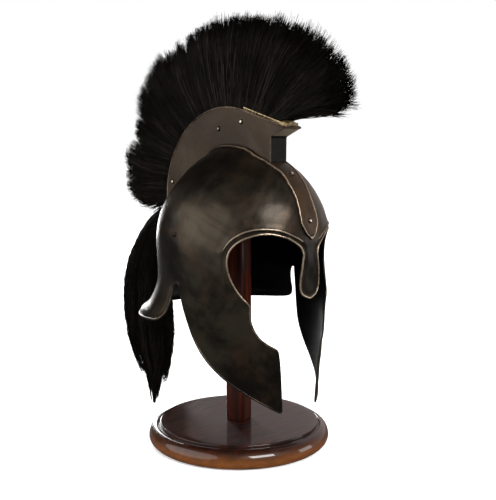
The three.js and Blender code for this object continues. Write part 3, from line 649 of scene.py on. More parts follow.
# Negative values blend to near-black: painted shade on the helmet's inside, and the darker front plate of the
# crest.
darkened = blend_colour(patina, ramp(patina, patina_in["Wear"], -0.8, -0.02), DARKENED_BLACK, toned)
fill(patina, patina_out["Color"], blend_colour(patina, rubbed_and_lit, darkened, patina_in["Worn"]))
rough = calc(patina, "MULTIPLY_ADD", calc(patina, "SUBTRACT", smears, 0.5), 0.35, patina_in["Roughness"])
rough = calc(patina, "MULTIPLY_ADD", grain_mask, 0.06, rough)
fill(patina, patina_out["Roughness"], calc(patina, "MULTIPLY_ADD", rubbed_and_lit, -0.08, rough))
fill(patina, patina_out["Height"],
     calc(patina, "MULTIPLY_ADD", smears, 0.6, calc(patina, "MULTIPLY", grains, 0.4)))


def patinated(name, deep, cloud, warm, worn_and_painted_light, roughness):
    """A waxed bronze finish: the shared patina with this piece's colours. The piece's wear_and_painted_light
    attribute says how far it goes towards the worn colour, from rubbing and, where set for them, painted
    highlights and reflections: 1 is bare metal, 0 whole patina and -1 near-black, which is painted shade on
    the helmet's inside and darkens the crest's front plate."""
    material, tree, shader = principled(name, Metallic=0.9, Coat_Weight=0.05, Coat_Roughness=0.25)
    wear_and_painted_light = add(tree, "Attribute", {"attribute_name": "wear_and_painted_light"}).outputs["Fac"]
    group = add(tree, "Group", {"node_tree": patina}, Deep=deep, Cloud=cloud, Warm=warm, Worn=worn_and_painted_light,
                Wear=wear_and_painted_light, Roughness=roughness).outputs
    fill(tree, shader.inputs["Roughness"], group["Roughness"])
    surface(tree, shader, group["Color"], group["Height"], 0.35, 0.0007)
    return material


dark_bronze = patinated("dark_bronze", BRONZE_BLACK, BRONZE_OLIVE, BRONZE_BROWN, BRONZE_WORN_AND_PAINTED_LIGHT, 0.35)
dress(sheet, dark_bronze, "dark_bronze", "helmet_shell")

# The rolled edge: the whole rim of the sheet is turned over into a thin bead, rubbed bright along its
# crest. Along the rim its brightness also paints the highlights it catches, brightest at the nasal and eye.
BEAD_SPACING = 2.0
BEAD_HALF = 1.3
BEAD_RISE = 1.3
BEAD_SINK = 0.55
BEAD_SIDES = 10
BEAD_FOOT_RUB = 0.35
# places along the rim, from the nasal's point to the middle of the neck guard, and at each the rub with a
# painted highlight
RIM_PLACES = (0, 0.12, 0.3, 0.36, 0.5, 0.8, 1.0)
RIM_RUB_AND_HIGHLIGHT = (0.95, 0.95, 0.6, 0.42, 0.36, 0.42, 0.7)


def bead(path, outward, sideways, half, rise, sides=BEAD_SIDES):
    """Rings of a rounded profile carried along a path: half wide along sideways, rise high along outward.
    Gives the rings (path, sides, xyz) and how far outward each side of the bead faces."""
    angle = full_turn(sides)
    rings = (path[:, None] + half * np.cos(angle)[:, None] * sideways[:, None]
             + rise * np.sin(angle)[:, None] * outward[:, None])
    return rings, np.sin(angle)


def bead_loop(name, rings, wear_and_painted_light):
    """A closed bead's piece from its rings, with its wear and painted light values."""
    piece = new_piece(name, rings.reshape(-1, 3),
                      grid_faces(*rings.shape[:2], wrap_rows=True, wrap_columns=True))
    point_values(piece, "wear_and_painted_light", wear_and_painted_light)
    return weld(piece, 0.001)


def mirrored(right_half):
    """A loop whose second half is the first one reflected in the mid-plane; both ends lie in that plane."""
    return np.concatenate([right_half, (right_half * [-1, 1, 1])[-2:0:-1]])


rim_chart = even(right_edge, BEAD_SPACING)
rim_place, rim_turn = place_at(rim_chart[:, 1]), rim_chart[:, 0] / CHART
rim_point = mirrored(form_point(rim_place, rim_turn))
rim_normal = mirrored(form_normal(rim_place, rim_turn))
rim_along = unit(np.roll(rim_point, -1, 0) - np.roll(rim_point, 1, 0))
rim_rings, rim_up = bead(rim_point - rim_normal * BEAD_SINK, rim_normal,
                         unit(np.cross(rim_along, rim_normal)), BEAD_HALF, BEAD_RISE)
# Rub and painted highlight along one half of the rim, brightest at the nasal and eye where the bead catches
# the light.
half_rub_and_highlight = np.interp(np.linspace(0, 1, len(rim_chart)), RIM_PLACES, RIM_RUB_AND_HIGHLIGHT)
rim_rub_and_highlight = np.concatenate([half_rub_and_highlight, half_rub_and_highlight[-2:0:-1]])
bead_rub = BEAD_FOOT_RUB + (1 - BEAD_FOOT_RUB) * np.clip(rim_up, 0, 1) ** 2
dress(bead_loop("rolled_edge", rim_rings, (rim_rub_and_highlight[:, None] * bead_rub).ravel()), dark_bronze,
      "dark_bronze", "helmet_shell")

# The brow ribs: over each eye a second rib is chased into the sheet, parallel to the rolled edge, and fades
# out behind the eye and into the root of the nasal.
RIB_HALF = 1.7
RIB_RISE = 1.25
RIB_SINK = 0.25
RIB_END_SINK = 0.6
RIB_SPACING = 1.6
RIB_END_SHARE = 0.012
RIB_FADE_POWER = 0.35
RIB_TOP_RUB = 0.72
rib_chart = even(rib_line, RIB_SPACING)
rib_place = place_at(rib_chart[:, 1])
rib_share = np.clip(np.linspace(0, 1, len(rib_chart)), RIB_END_SHARE, 1 - RIB_END_SHARE)
rib_fade = (np.sin(np.pi * rib_share) ** RIB_FADE_POWER)[:, None]
rib_lift = RIB_SWELL - RIB_SINK - RIB_END_SINK * (1 - rib_fade)
for side_name, sign in (("right", 1), ("left", -1)):
    rib_turn = sign * rib_chart[:, 0] / CHART
    rib_out = form_normal(rib_place, rib_turn)
    rib_centre = form_point(rib_place, rib_turn) + rib_out * rib_lift
    rib_side = unit(np.cross(np.gradient(rib_centre, axis=0), rib_out))
    rib_rings, rib_up = bead(rib_centre, rib_out * rib_fade, rib_side * rib_fade, RIB_HALF, RIB_RISE)
    rib_rub = np.tile(RIB_TOP_RUB * np.clip(rib_up, 0, 1) ** 2, (len(rib_rings), 1))
    dress(loft(f"brow_rib_{side_name}", rib_rings, rib_rub), dark_bronze, "dark_bronze", "helmet_shell")

# The medial band: a brown bronze strip laid over the skull's mid-line from a point above the nasal to the
# rear, its hand-cut edges turned up into a bright rim.
BAND_THICKNESS = 1.6
BAND_SEAT = 0.3
BAND_REAR_Z = 284
BAND_SPACING = 2.0
BAND_ROUNDING = 12
# half width and height, from the point above the nasal to the crown
BAND_EDGE = np.array([(0.3, 268.5), (8.6, 276), (15.4, 289), (13.4, 308), (14.5, 341), (18, 358), (18, 377)])
# how far across half the band its points lie, from its edge to its middle
BAND_ACROSS = np.array([1, 0.98, 0.95, 0.91, 0.87, 0.82, 0.74, 0.6, 0.45, 0.3, 0.15])
# height and radians a point of the hand-cut edge's two waves, which start where the half width passes a limit
BAND_WAVES = ((0.35, 0.41), (0.25, 0.97))
BAND_WAVE_START = 6
# height, way in from the edge and half width of the turned-up rim, then of the groove inside it
BAND_RIM = (0.9, 1.0, 1.3)
BAND_GROOVE = (-0.3, 4.2, 1.2)
BAND_RUB_HALF = 0.8
# the share of the thickness that is left at the very edge, and how far in it grows by one thickness
BAND_CUT = 0.55
BAND_CUT_REACH = 0.6
BAND_REACH = 14.0
BAND_TIP_SHARE = 0.6
CROWN_RISE_Z = 330
HALVINGS = 30
BROWN_DEEP = (0.030, 0.019, 0.012, 1)
BROWN_CLOUD = (0.080, 0.050, 0.030, 1)
BROWN_WARM = (0.105, 0.058, 0.030, 1)


def form_level(points, grow):
    """0 on the outer surface grown by a length, negative inside: the section ellipse's equation minus 1."""
    x, y, z = np.moveaxis(points, -1, 0)
    z = z - grow * np.clip((z - CROWN_RISE_Z) / (SECTIONS[0, 0] - CROWN_RISE_Z), 0, 1)
    half = np.where(y < SECTION_CENTRE_Y, at_height(z, 1), at_height(z, 3)) + grow
    reach = np.where(y < SECTION_CENTRE_Y, SECTION_CENTRE_Y - at_height(z, 2),
                     at_height(z, 4) - SECTION_CENTRE_Y) + grow
    level = (x / half) ** 2 + ((y - SECTION_CENTRE_Y) / reach) ** 2 - 1
    return np.where(z > SECTIONS[0, 0], 1.0, level)


def sink(points, direction, grow, reach):
    """Moves points against a direction until they meet the grown surface, by halving."""
    near = np.full(points.shape[:-1], -reach)
    far = np.full(points.shape[:-1], reach)
    for _ in range(HALVINGS):
        middle = (near + far) / 2
        out = form_level(points - direction * middle[..., None], grow) > 0
        near = np.where(out, middle, near)
        far = np.where(out, far, middle)
    return points - direction * near[..., None]


def in_plane(yz, x=0.0):
    """Points or directions (x, y, z) from rows (y, z)."""
    return np.concatenate([np.broadcast_to(x, yz.shape[:-1])[..., None], yz], -1)


def quarter_turn(yz):
    """Rows (y, z) turned by 90 degrees in the mid-plane: (-z, y)."""
    return np.stack([-yz[..., 1], yz[..., 0]], -1)


profile = np.concatenate([section_table[::-1][:, [2, 0]], section_table[1:, [4, 0]]])
front_start = np.argmax((profile[:, 1] > BAND_EDGE[0, 1]) & (profile[:, 0] < 0))
rear_end = len(profile) - np.argmax((profile[::-1, 1] > BAND_REAR_Z) & (profile[::-1, 0] > 0))
band_path = even(relax(even(profile[front_start:rear_end], 1.0), BAND_ROUNDING), BAND_SPACING)
band_along = unit(np.gradient(band_path, axis=0))
band_out = in_plane(quarter_turn(band_along))
in_front = band_path[:, :1] < SECTION_CENTRE_Y
band_half = np.where(in_front[:, 0], np.interp(band_path[:, 1], BAND_EDGE[:, 1], BAND_EDGE[:, 0]),
                     BAND_EDGE[-1, 0])
wobble = sum(height * np.sin(np.arange(len(band_path)) * pitch) for height, pitch in BAND_WAVES)
band_half = band_half + np.where(band_half > BAND_WAVE_START, wobble, 0)
across = np.concatenate([-BAND_ACROSS, [0], BAND_ACROSS[::-1]])
band_x = across * band_half[:, None]
out_grid = np.repeat(band_out[:, None], len(across), 1)
band_floor = sink(in_plane(np.repeat(band_path[:, None], len(across), 1), band_x), out_grid, BAND_SEAT,
                  BAND_REACH)
tip_gap = np.where(in_front, np.maximum(band_path[:, 1:] - BAND_EDGE[0, 1], 0), np.inf)
rim_gap = np.minimum(band_half[:, None] - np.abs(band_x), tip_gap * BAND_TIP_SHARE)
band_rise = (BAND_THICKNESS * np.clip(BAND_CUT + rim_gap / BAND_CUT_REACH, 0, 1)
             + bell(rim_gap, *BAND_RIM) + bell(rim_gap, *BAND_GROOVE))
band_top = band_floor + out_grid * band_rise[..., None]
top_wear = bell(rim_gap, 1.0, BAND_RIM[1], BAND_RUB_HALF)
brown_bronze = patinated("brown_bronze", BROWN_DEEP, BROWN_CLOUD, BROWN_WARM, BRONZE_WORN_AND_PAINTED_LIGHT, 0.46)
dress(loft("brown_band", np.concatenate([band_top, band_floor[:, ::-1]], 1),
           np.concatenate([top_wear, 0 * top_wear], 1)), brown_bronze, "brown_bronze", "medial_band")

# The crest holder: two flat cheeks, a front plate bent forward into a beak and a rear end, cut from thin
# sheet, riveted through and open along the top, where a rolled rim runs round it.
CREST_HALF_WIDTH = 14
CREST_SHEET = 1.4
CREST_CENTRE = np.array([10.0, 310.0])
CREST_RADIUS = 112.5
CREST_REAR_DEG = -13
CREST_FRONT_DEG = 108
CREST_BEAK = np.array([-91.5, 396.5])
CREST_PLATE_Y = -68
CREST_PLATE_TOP = 386
CREST_SEAT = 2.3
CREST_ROUND = 0.5
# counts of points along the arc, along the straight run to the beak, up the cheeks and across the plates
ARC_POINTS = 60
RUN_POINTS = 26
CHEEK_POINTS = 14
PLATE_POINTS = 13
# rays that find the skull's outline under the cheeks: centre, angles, length and how far they search
SEAT_CENTRE = np.array([CREST_HALF_WIDTH, 2.0, 300.0])
SEAT_ANGLES = np.radians(np.linspace(-12, 150, 1200))
SEAT_RAY = 100
SEAT_REACH = 60.0
CREST_RIM = 1.25
CREST_RIM_SPACING = 2.0
CHEEK_WEAR = 0.05
CORNER_WIDTH = 0.5
CORNER_WEAR = 0.5
CORNER_WEAR_REACH = 0.8
# the front plate under the beak is darkened towards near-black
FRONT_DARKENING = -0.7
# the beak's floor is painted bright: a painted reflection of the pale floor on its underside
BEAK_PAINTED_REFLECTION = 1.0
RIM_WEAR = 0.42
GREY_DEEP = (0.043, 0.032, 0.023, 1)
GREY_CLOUD = (0.070, 0.052, 0.037, 1)
GREY_WARM = (0.078, 0.048, 0.029, 1)


def arc_point(degrees, radius=CREST_RADIUS):
    """A point (y, z) of an arc about the crest's centre; 0 degrees is the rear and 90 the top."""
    return CREST_CENTRE + radius * cos_sin(np.radians(degrees))


def plate(points, facing):
    """Faces over a grid of points, turned to face roughly the given way."""
    faces = grid_faces(*points.shape[:2])
    first, second, third = (points.reshape(-1, 3)[faces[:, k]] for k in (0, 1, 2))
    mean = np.cross(second - first, third - first).sum(0)
    return faces if mean @ np.array(facing) > 0 else faces[:, ::-1]


def resampled(line, places):
    """A line's points at places given as shares of its rows."""
    return np.stack([np.interp(places, np.linspace(0, 1, len(line)), line[:, k]) for k in (0, 1)], -1)


run_steps = np.linspace(0, 1, RUN_POINTS)[1:, None]
high_line = arc_point(np.linspace(CREST_REAR_DEG, CREST_FRONT_DEG, ARC_POINTS))
high_line = np.concatenate([high_line, high_line[-1] + (CREST_BEAK - high_line[-1]) * run_steps])
ray_way = in_plane(cos_sin(SEAT_ANGLES))
seat_line = sink(SEAT_CENTRE + ray_way * SEAT_RAY, ray_way, CREST_SEAT, SEAT_REACH)[:, 1:]
on_seat = (seat_line[:, 0] > CREST_PLATE_Y) & ((seat_line[:, 1] > high_line[0, 1]) | (seat_line[:, 0] < 0))
seat_arc = resampled(even(seat_line[on_seat], 2.0), np.linspace(0, 1, ARC_POINTS))
front_edge = even(np.array([seat_arc[-1], (CREST_PLATE_Y, CREST_PLATE_TOP), CREST_BEAK]), 0.5)
seat_run = resampled(front_edge, run_steps[:, 0])
low_line = np.concatenate([seat_arc, seat_run])
rise = np.linspace(0, 1, CHEEK_POINTS)[None, :, None]
cheek_yz = low_line[:, None] * (1 - rise) + high_line[:, None] * rise
plate_x = np.linspace(-CREST_HALF_WIDTH, CREST_HALF_WIDTH, PLATE_POINTS)
crest_plates = [(in_plane(cheek_yz, sign * CREST_HALF_WIDTH), (sign, 0, 0)) for sign in (-1, 1)]
for line, facing in ((np.concatenate([seat_arc[-1:], seat_run]), (0, -1, 0)), (cheek_yz[0], (0, 0, -1))):
    crest_plates.append((in_plane(np.repeat(line[:, None], PLATE_POINTS, 1), plate_x), facing))
first_points = np.cumsum([0] + [points.size // 3 for points, _ in crest_plates])
crest = new_piece("crest_holder", np.concatenate([points.reshape(-1, 3) for points, _ in crest_plates]),
                  *[plate(points, facing) + first
                    for (points, facing), first in zip(crest_plates, first_points)])
weld(crest, 0.02, turn_out=False)
thicken = crest.modifiers.new("sheet", "SOLIDIFY")
thicken.thickness = CREST_SHEET * MM
thicken.offset = -1
rounded = crest.modifiers.new("edges", "BEVEL")
rounded.width = CREST_ROUND * MM
rounded.segments = 2
rounded.limit_method = "ANGLE"
rounded.angle_limit = math.radians(35)
crest_place = np.zeros(len(crest.data.vertices) * 3, np.float32)
crest.data.vertices.foreach_get("co", crest_place)
crest_place = crest_place.reshape(-1, 3).astype(float) / MM
front_gap, _ = edge_distance(crest_place[:, 1:], front_edge)
corner = np.abs(crest_place[:, 0]) > CREST_HALF_WIDTH - CORNER_WIDTH
beak_floor = ~corner & (crest_place[:, 2] > CREST_PLATE_TOP + 1)
front_plate = ~corner & (crest_place[:, 1] < 0) & ~beak_floor
# The holder's values: corners rubbed along the front edge, a painted reflection on the beak's floor, the
# front plate darkened, and the cheeks barely rubbed.
point_values(crest, "wear_and_painted_light", np.select(
    [corner, beak_floor, front_plate],
    [CORNER_WEAR * np.exp(-front_gap / CORNER_WEAR_REACH), BEAK_PAINTED_REFLECTION, FRONT_DARKENING], CHEEK_WEAR))
dress(crest, patinated("grey_bronze", GREY_DEEP, GREY_CLOUD, GREY_WARM, BRONZE_WORN_AND_PAINTED_LIGHT, 0.5), "brown_bronze",
      "crest_box")

rim_half = CREST_HALF_WIDTH - CREST_ROUND
rim_line = np.concatenate([in_plane(high_line, -rim_half), in_plane(high_line, rim_half)[::-1]])
rim_line = relax(even(rim_line, CREST_RIM_SPACING, closed=True), 2, closed=True)
rim_run = unit(np.roll(rim_line, -1, 0) - np.roll(rim_line, 1, 0))
rim_aside = unit(np.cross(rim_run, unit(in_plane(rim_line[:, 1:] - CREST_CENTRE))))
crest_rim, _ = bead(rim_line, unit(np.cross(rim_aside, rim_run)), rim_aside, CREST_RIM, CREST_RIM)
dress(bead_loop("crest_rim", crest_rim, RIM_WEAR), brown_bronze, "brown_bronze", "crest_box")

# The rivets: small domed heads, set on the crest's cheeks, the band and the sides of the skull, their tops
# rubbed bright inside a dark ring, the brightness of each also a painted highlight.
RIVET_RADIUS = 3.2
RIVET_HEIGHT = 1.8
RIVET_SECTORS = 28
RIVET_RUB_AND_HIGHLIGHT_SHARE = 0.62
# foot height, height of the dome's centre, and the dome's first angle, last angle and count of points
RIVET_FOOT = 0.25
RIVET_DOME_Z = 0.1
RIVET_DOME_DEG = (12, 90, 12)
RIVET_SKEW = (0.31, 0.57, 0.76)
# y, z and how bright the top is, rubbed and with a painted highlight, on each cheek of the crest
CREST_RIVETS = ((-19, 404.5, 1.0), (21, 396.5, 0.66), (111, 328, 0.9))
BAND_RIVETS = (342, 290)
SKULL_RIVET_Z = 273
SKULL_RIVET_RUB_AND_HIGHLIGHT = 0.25
CREST_RIVET_SEAT = 0.05
SKULL_RIVET_SEAT = 0.1
RIVET_WORN_AND_HIGHLIGHT = (0.72, 0.64, 0.52, 1)
rivet_profile = np.concatenate([
    [(0, 0), (RIVET_RADIUS, 0), (RIVET_RADIUS, RIVET_FOOT)],
    arc(0, RIVET_DOME_Z, RIVET_RADIUS, RIVET_HEIGHT - RIVET_DOME_Z, *RIVET_DOME_DEG)])
rivet_metal = patinated("rivet_rub_and_highlight", BRONZE_BLACK, BRONZE_OLIVE, BRONZE_BROWN, RIVET_WORN_AND_HIGHLIGHT, 0.3)


def rivet(name, seat, outward, node, rub_and_highlight):
    """A turned dome stood on its seat along the outward direction, rubbed most at its top, where a painted
    highlight is laid too.
    """
    first = unit(np.cross(outward, RIVET_SKEW))
    local = lathe(rivet_profile, RIVET_SECTORS)
    points = seat + local @ np.stack([first, np.cross(outward, first), outward])
    head = new_piece(name, points, grid_faces(len(rivet_profile), RIVET_SECTORS, wrap_columns=True))
    from_axis = np.hypot(local[:, 0], local[:, 1]) / (RIVET_RUB_AND_HIGHLIGHT_SHARE * RIVET_RADIUS)
    # The top is rubbed bright and carries a painted highlight.
    point_values(head, "wear_and_painted_light", rub_and_highlight * np.exp(-from_axis ** 4))
    dress(weld(head), rivet_metal, "rivet_metal", node)


for side_name, sign in (("right", -1), ("left", 1)):
    aside = np.array([sign, 0.0, 0.0])
    for number, (y, z, rub_and_highlight) in enumerate(CREST_RIVETS, 1):
        crest_seat = aside * (CREST_HALF_WIDTH + CREST_RIVET_SEAT) + (0, y, z)
        rivet(f"crest_stud_{side_name}_{number}", crest_seat, aside, f"crest_rivet_{side_name}_{number}",
              rub_and_highlight)
    skull_x = at_height(SKULL_RIVET_Z, 1) + SKULL_RIVET_SEAT
    skull_seat = aside * skull_x + (0, SECTION_CENTRE_Y, SKULL_RIVET_Z)
    rivet(f"skull_stud_{side_name}", skull_seat, aside, f"skull_rivet_{side_name}", SKULL_RIVET_RUB_AND_HIGHLIGHT)
for number, z in enumerate(BAND_RIVETS, 1):
    outward = unit(np.array([0, -1, at_height(z + 1, 2) - at_height(z, 2)]))
    rivet(f"band_stud_{number}", outward * (BAND_SEAT + BAND_THICKNESS) + (0, at_height(z, 2), z), outward,
          f"band_rivet_{number}", 1.0)

# The plume: black horsehair set in bundles along the holder and cut into a fan. A packed heart carries the
# bulk; every hair over it is a tapered tube, drawn together with its bundle towards the tip.
# station along the crest line, lean of the hair in degrees (0 back, 90 up), length
PLUME_ROWS = np.array([
    (0.0, -12, 78), (0.05, 2, 92), (0.13, 9, 106), (0.18, 18, 86), (0.24, 28, 98), (0.31, 42, 118),
    (0.385, 54, 115), (0.44, 61, 100), (0.52, 74, 108), (0.63, 90, 110), (0.735, 107, 112),
    (0.82, 124, 120), (0.885, 142, 122), (0.95, 158, 106), (1.0, 173, 80)])
PLUME_PARTS = (("plume_rear", 0.0, 0.30), ("plume_top", 0.30, 0.66), ("plume_front", 0.66, 1.0))
PLUME_HAIRS = 4800
# where the plume starts on the holder's arc; the tail leaves it below
CREST_SPLIT_DEG = -3
PLUME_HALF = 17.5
# reach along a hair and how far across it has spread, as a share of its place at the middle
PLUME_SPREAD = ((0, 0.45, 0.8, 1.0), (0.66, 1.0, 1.02, 0.9))
TUFTS = 950
TUFT_PULL = 0.62
TUFT_STATION_SCALE = 22
# the hairs at the front stand on the rawhide pad: from this station on they start higher and lean less
FRONT_START = 0.88
FRONT_LIFT_DEG = 1.0
FRONT_RISE = 8.0
LAST_ROOT = 0.965
CURL = 2.3 * np.array([0.6, 0.8, 0.4])
CURL_PITCH = 8.5
PHASE_SPAN = 6.28
HAIR_RADIUS = 0.42
HAIR_STEPS = 6
# a hair's width is this less the third power of its place along it, and at most its whole width
HAIR_TAPER = 1.3
HAIR_TIP = 3
HAIR_ROOT = -0.05
# a skew direction, from which the sides of a hair's tube are taken
HAIR_SKEW = np.array([0.35, 0.81, 0.47])
# the spread of a bundle and of a hair in its lean in degrees, its length share and its bend in degrees
TUFT_SPREAD = (3.0, 0.03, 5)
HAIR_SPREAD = (3.6, 0.04, 6)
TUFT_EDGE_CUT = 0.06
PULL_POWER = 1.6
# how much of the tone is the bundle's and how much the hair's own, and how rare brown hairs are
BUNDLE_TONE = 0.12
OWN_TONE = 0.9
OWN_TONE_POWER = 6
HAIR_BLACK = (0.0018, 0.0013, 0.0010, 1)
HAIR_BROWN = (0.023, 0.018, 0.014, 1)
HEART_STATIONS = np.linspace(0.005, 0.995, 70)
# shares of the hair's length, and half widths of the packed heart there
HEART_REACH = np.array([-0.04, 0.25, 0.5, 0.7, 0.82])
HEART_HALF = np.array([9.5, 12.5, 13.5, 12.5, 6.0])
chance = np.random.default_rng(7)


def hair_piece(name, paths, tone):
    """Three-sided tubes round many paths (hairs, points, xyz) as one mesh, tapered to a point at the tip.
    The tone has one value a hair, 0 black to 1 brown."""
    hairs, steps = paths.shape[:2]
    along = unit(np.gradient(paths, axis=1))
    first = unit(np.cross(along, HAIR_SKEW))
    second = np.cross(along, first)
    taper = np.minimum(HAIR_TAPER - np.linspace(0, 1, steps) ** 3, 1)[None, :, None, None]
    angle = (np.array([0, 2, 4]) * np.pi / 3)[:, None]
    ring = np.cos(angle) * first[:, :, None] + np.sin(angle) * second[:, :, None]
    points = paths[:, :, None] + HAIR_RADIUS * taper * ring
    tip = paths[:, -1:] + along[:, -1:] * HAIR_RADIUS * HAIR_TIP
    points = np.concatenate([points.reshape(hairs, -1, 3), tip], 1)
    size = 3 * steps + 1
    tube = grid_faces(steps, 3, wrap_columns=True)[:, ::-1]
    last = size - 4
    ends = np.array([[0, 1, 2], [last + 1, last, last + 3], [last + 2, last + 1, last + 3],
                     [last, last + 2, last + 3]])
    starts = (np.arange(hairs) * size)[:, None, None]
    piece = new_piece(name, points.reshape(-1, 3), (tube + starts).reshape(-1, 4),
                      (ends + starts).reshape(-1, 3))
    point_values(piece, "tone", np.repeat(tone, size))
    return piece


def hair_tones(bundle_tone, count):
    """Each hair's tone: a little of its bundle's, and now and then a much browner hair."""
    own_tone = OWN_TONE * chance.random(count) ** OWN_TONE_POWER
    return np.clip(BUNDLE_TONE * bundle_tone + own_tone, 0, 1)


def crest_root(station):
    """The crest line's point (y, z) at a station, 0 at the rear split and 1 at the beak."""
    along = np.asarray(station) * (arc_length + run_length)
    on_arc = arc_point(CREST_SPLIT_DEG + np.degrees(np.minimum(along, arc_length) / CREST_RADIUS))
    share = np.clip((along - arc_length) / run_length, 0, 1)[..., None]
    return on_arc + share * (CREST_BEAK - arc_point(CREST_FRONT_DEG))


def front_share(station):
    """0 up to the start of the front and 1 at the beak."""
    return np.clip((station - FRONT_START) / (1 - FRONT_START), 0, 1)


def plume_root(station):
    """Where a hair leaves the holder: on the crest line, and on top of the rawhide pad at the front."""
    lift = FRONT_RISE * front_share(station)
    return crest_root(np.minimum(station, LAST_ROOT)) + np.stack([0 * lift, lift], -1)


def plume_paths(station, across, lean_shift, length_share, along_bend):
    """Hairs from their roots: a run along the lean that bends a little and spreads across as it rises."""
    lean = np.radians(np.interp(station, *PLUME_ROWS[:, :2].T) + lean_shift
                      - FRONT_LIFT_DEG * front_share(station))
    length = np.interp(station, PLUME_ROWS[:, 0], PLUME_ROWS[:, 2]) * length_share
    reach = np.linspace(HAIR_ROOT, 1, HAIR_STEPS)
    angle = lean[:, None] + along_bend[:, None] * reach ** 2
    return in_plane(plume_root(station)[:, None] + (length[:, None] * reach)[..., None] * cos_sin(angle),
                    across[:, None] * np.interp(reach, *PLUME_SPREAD))


horsehair, tree, shader = principled("horsehair", Roughness=0.5, Specular_IOR_Level=0.06)
hair_spot = add(tree, "TexCoord").outputs["Object"]
hair_share = calc(tree, "MULTIPLY", add(tree, "Attribute", {"attribute_name": "tone"}).outputs["Fac"],
                  ramp(tree, noise(tree, hair_spot, 18.0, 2.0), 0.10, 0.70))
surface(tree, shader, blend_colour(tree, hair_share, HAIR_BLACK, HAIR_BROWN),
        noise(tree, hair_spot, 900.0, 2.0), 0.3, 0.0003)

arc_length = np.radians(CREST_FRONT_DEG - CREST_SPLIT_DEG) * CREST_RADIUS
run_length = np.linalg.norm(CREST_BEAK - arc_point(CREST_FRONT_DEG))
tuft_station = chance.uniform(0, 1, TUFTS)
tuft_across = chance.uniform(-1, 1, TUFTS)
tuft_lean = chance.normal(0, TUFT_SPREAD[0], TUFTS)
tuft_length = 1 + chance.normal(0, TUFT_SPREAD[1], TUFTS) - TUFT_EDGE_CUT * np.abs(tuft_across) ** 3
tuft_bend = np.radians(chance.normal(0, TUFT_SPREAD[2], TUFTS))
tuft_tone = chance.random(TUFTS)
for name, start, end in PLUME_PARTS:
    station = chance.uniform(start, end, PLUME_HAIRS)
    skin = np.sqrt(chance.random(PLUME_HAIRS)) * np.sign(chance.random(PLUME_HAIRS) - 0.5)
    tuft = ((TUFT_STATION_SCALE * (station[:, None] - tuft_station)) ** 2
            + (skin[:, None] - tuft_across) ** 2).argmin(1)
    length_share = tuft_length[tuft] * (1.0 - np.abs(chance.normal(0, HAIR_SPREAD[1], PLUME_HAIRS)))
    own_lean = chance.normal(0, HAIR_SPREAD[0], PLUME_HAIRS)
    own_bend = np.radians(chance.normal(0, HAIR_SPREAD[2], PLUME_HAIRS))
    own = plume_paths(station, PLUME_HALF * skin, own_lean, length_share, own_bend)
    lead = plume_paths(tuft_station[tuft], PLUME_HALF * tuft_across[tuft], tuft_lean[tuft], length_share,
                       tuft_bend[tuft])
    reach = np.linspace(0, 1, HAIR_STEPS)
    pull = (TUFT_PULL * reach ** PULL_POWER)[:, None]
    curl = reach * np.sin(CURL_PITCH * reach + chance.uniform(0, PHASE_SPAN, PLUME_HAIRS)[:, None])
    dress(hair_piece(name, own + pull * (lead - own) + curl[..., None] * CURL,
                     hair_tones(tuft_tone[tuft], PLUME_HAIRS)), horsehair, "horsehair", "crest_plume")

heart_lean = np.radians(np.interp(HEART_STATIONS, *PLUME_ROWS[:, :2].T))
heart_length = np.interp(HEART_STATIONS, PLUME_ROWS[:, 0], PLUME_ROWS[:, 2])
heart_way = cos_sin(heart_lean)[:, None]
heart_side = in_plane(plume_root(HEART_STATIONS)[:, None]
                      + (heart_length[:, None] * HEART_REACH)[..., None] * heart_way, HEART_HALF)
plume_heart = loft("plume_heart", np.concatenate([heart_side, (heart_side * [-1, 1, 1])[:, ::-1]], 1))
point_values(plume_heart, "tone", 0.0)
dress(plume_heart, horsehair, "horsehair", "crest_plume")

# The binding: a strip of yellowed rawhide holds the hair's roots along the front of the holder, a cream
# cord is whipped along its edge, and a rawhide pad fills the beak.
BINDING_X = 11.6
BINDING_RISE = 3.4
BINDING_SINK = -2.0
BINDING_START = 0.74
BINDING_END = 0.985
BINDING_POINTS = 130
HIDE_HALF = 0.45
CORD_RADIUS = 0.65
CORD_ASIDE = 0.3
CORD_SPACING = 0.55
CORD_SIDES = 7
CORD_TURNS = 0.62
CORD_KNOB = 0.38
CORD_END = 0.05
PAD_START = 0.92
PAD_RISE = 7.0
PAD_SINK = -0.12
PAD_POINTS = 16
PAD_SIDES = 18
# the pad's height follows the root of a sine between these angles: low at its rear, nearly full at the beak
PAD_ANGLES = (0.15, 2.2)
RAWHIDE_DARK = (0.060, 0.038, 0.012, 1)
RAWHIDE_LIGHT = (0.34, 0.24, 0.10, 1)
CORD_CREAM = (0.42, 0.33, 0.17, 1)
# the darker of the cord's two fibre tones, mixed in by noise
CORD_DARK = (0.16, 0.11, 0.05, 1)


def fibre(name, dark_tone, light_tone, scale, roughness):
    """A dull natural fibre: two tones broken up by fine noise, with matching bump."""
    material, tree, shader = principled(name, Roughness=roughness)
    strands = noise(tree, add(tree, "TexCoord").outputs["Object"], scale, 4.0)
    tone = blend_colour(tree, ramp(tree, strands, 0.3, 0.7), dark_tone, light_tone)
    surface(tree, shader, tone, strands, 0.5, 0.0005)
    return material


def crest_run(start, count):
    """Points of the crest line from a station to the binding's end, and the way up from it at each."""
    line = crest_root(np.linspace(start, BINDING_END, count))
    up = quarter_turn(unit(np.gradient(line, axis=0)))
    return line, up * np.sign((up * (line - CREST_CENTRE)).sum(-1, keepdims=True))


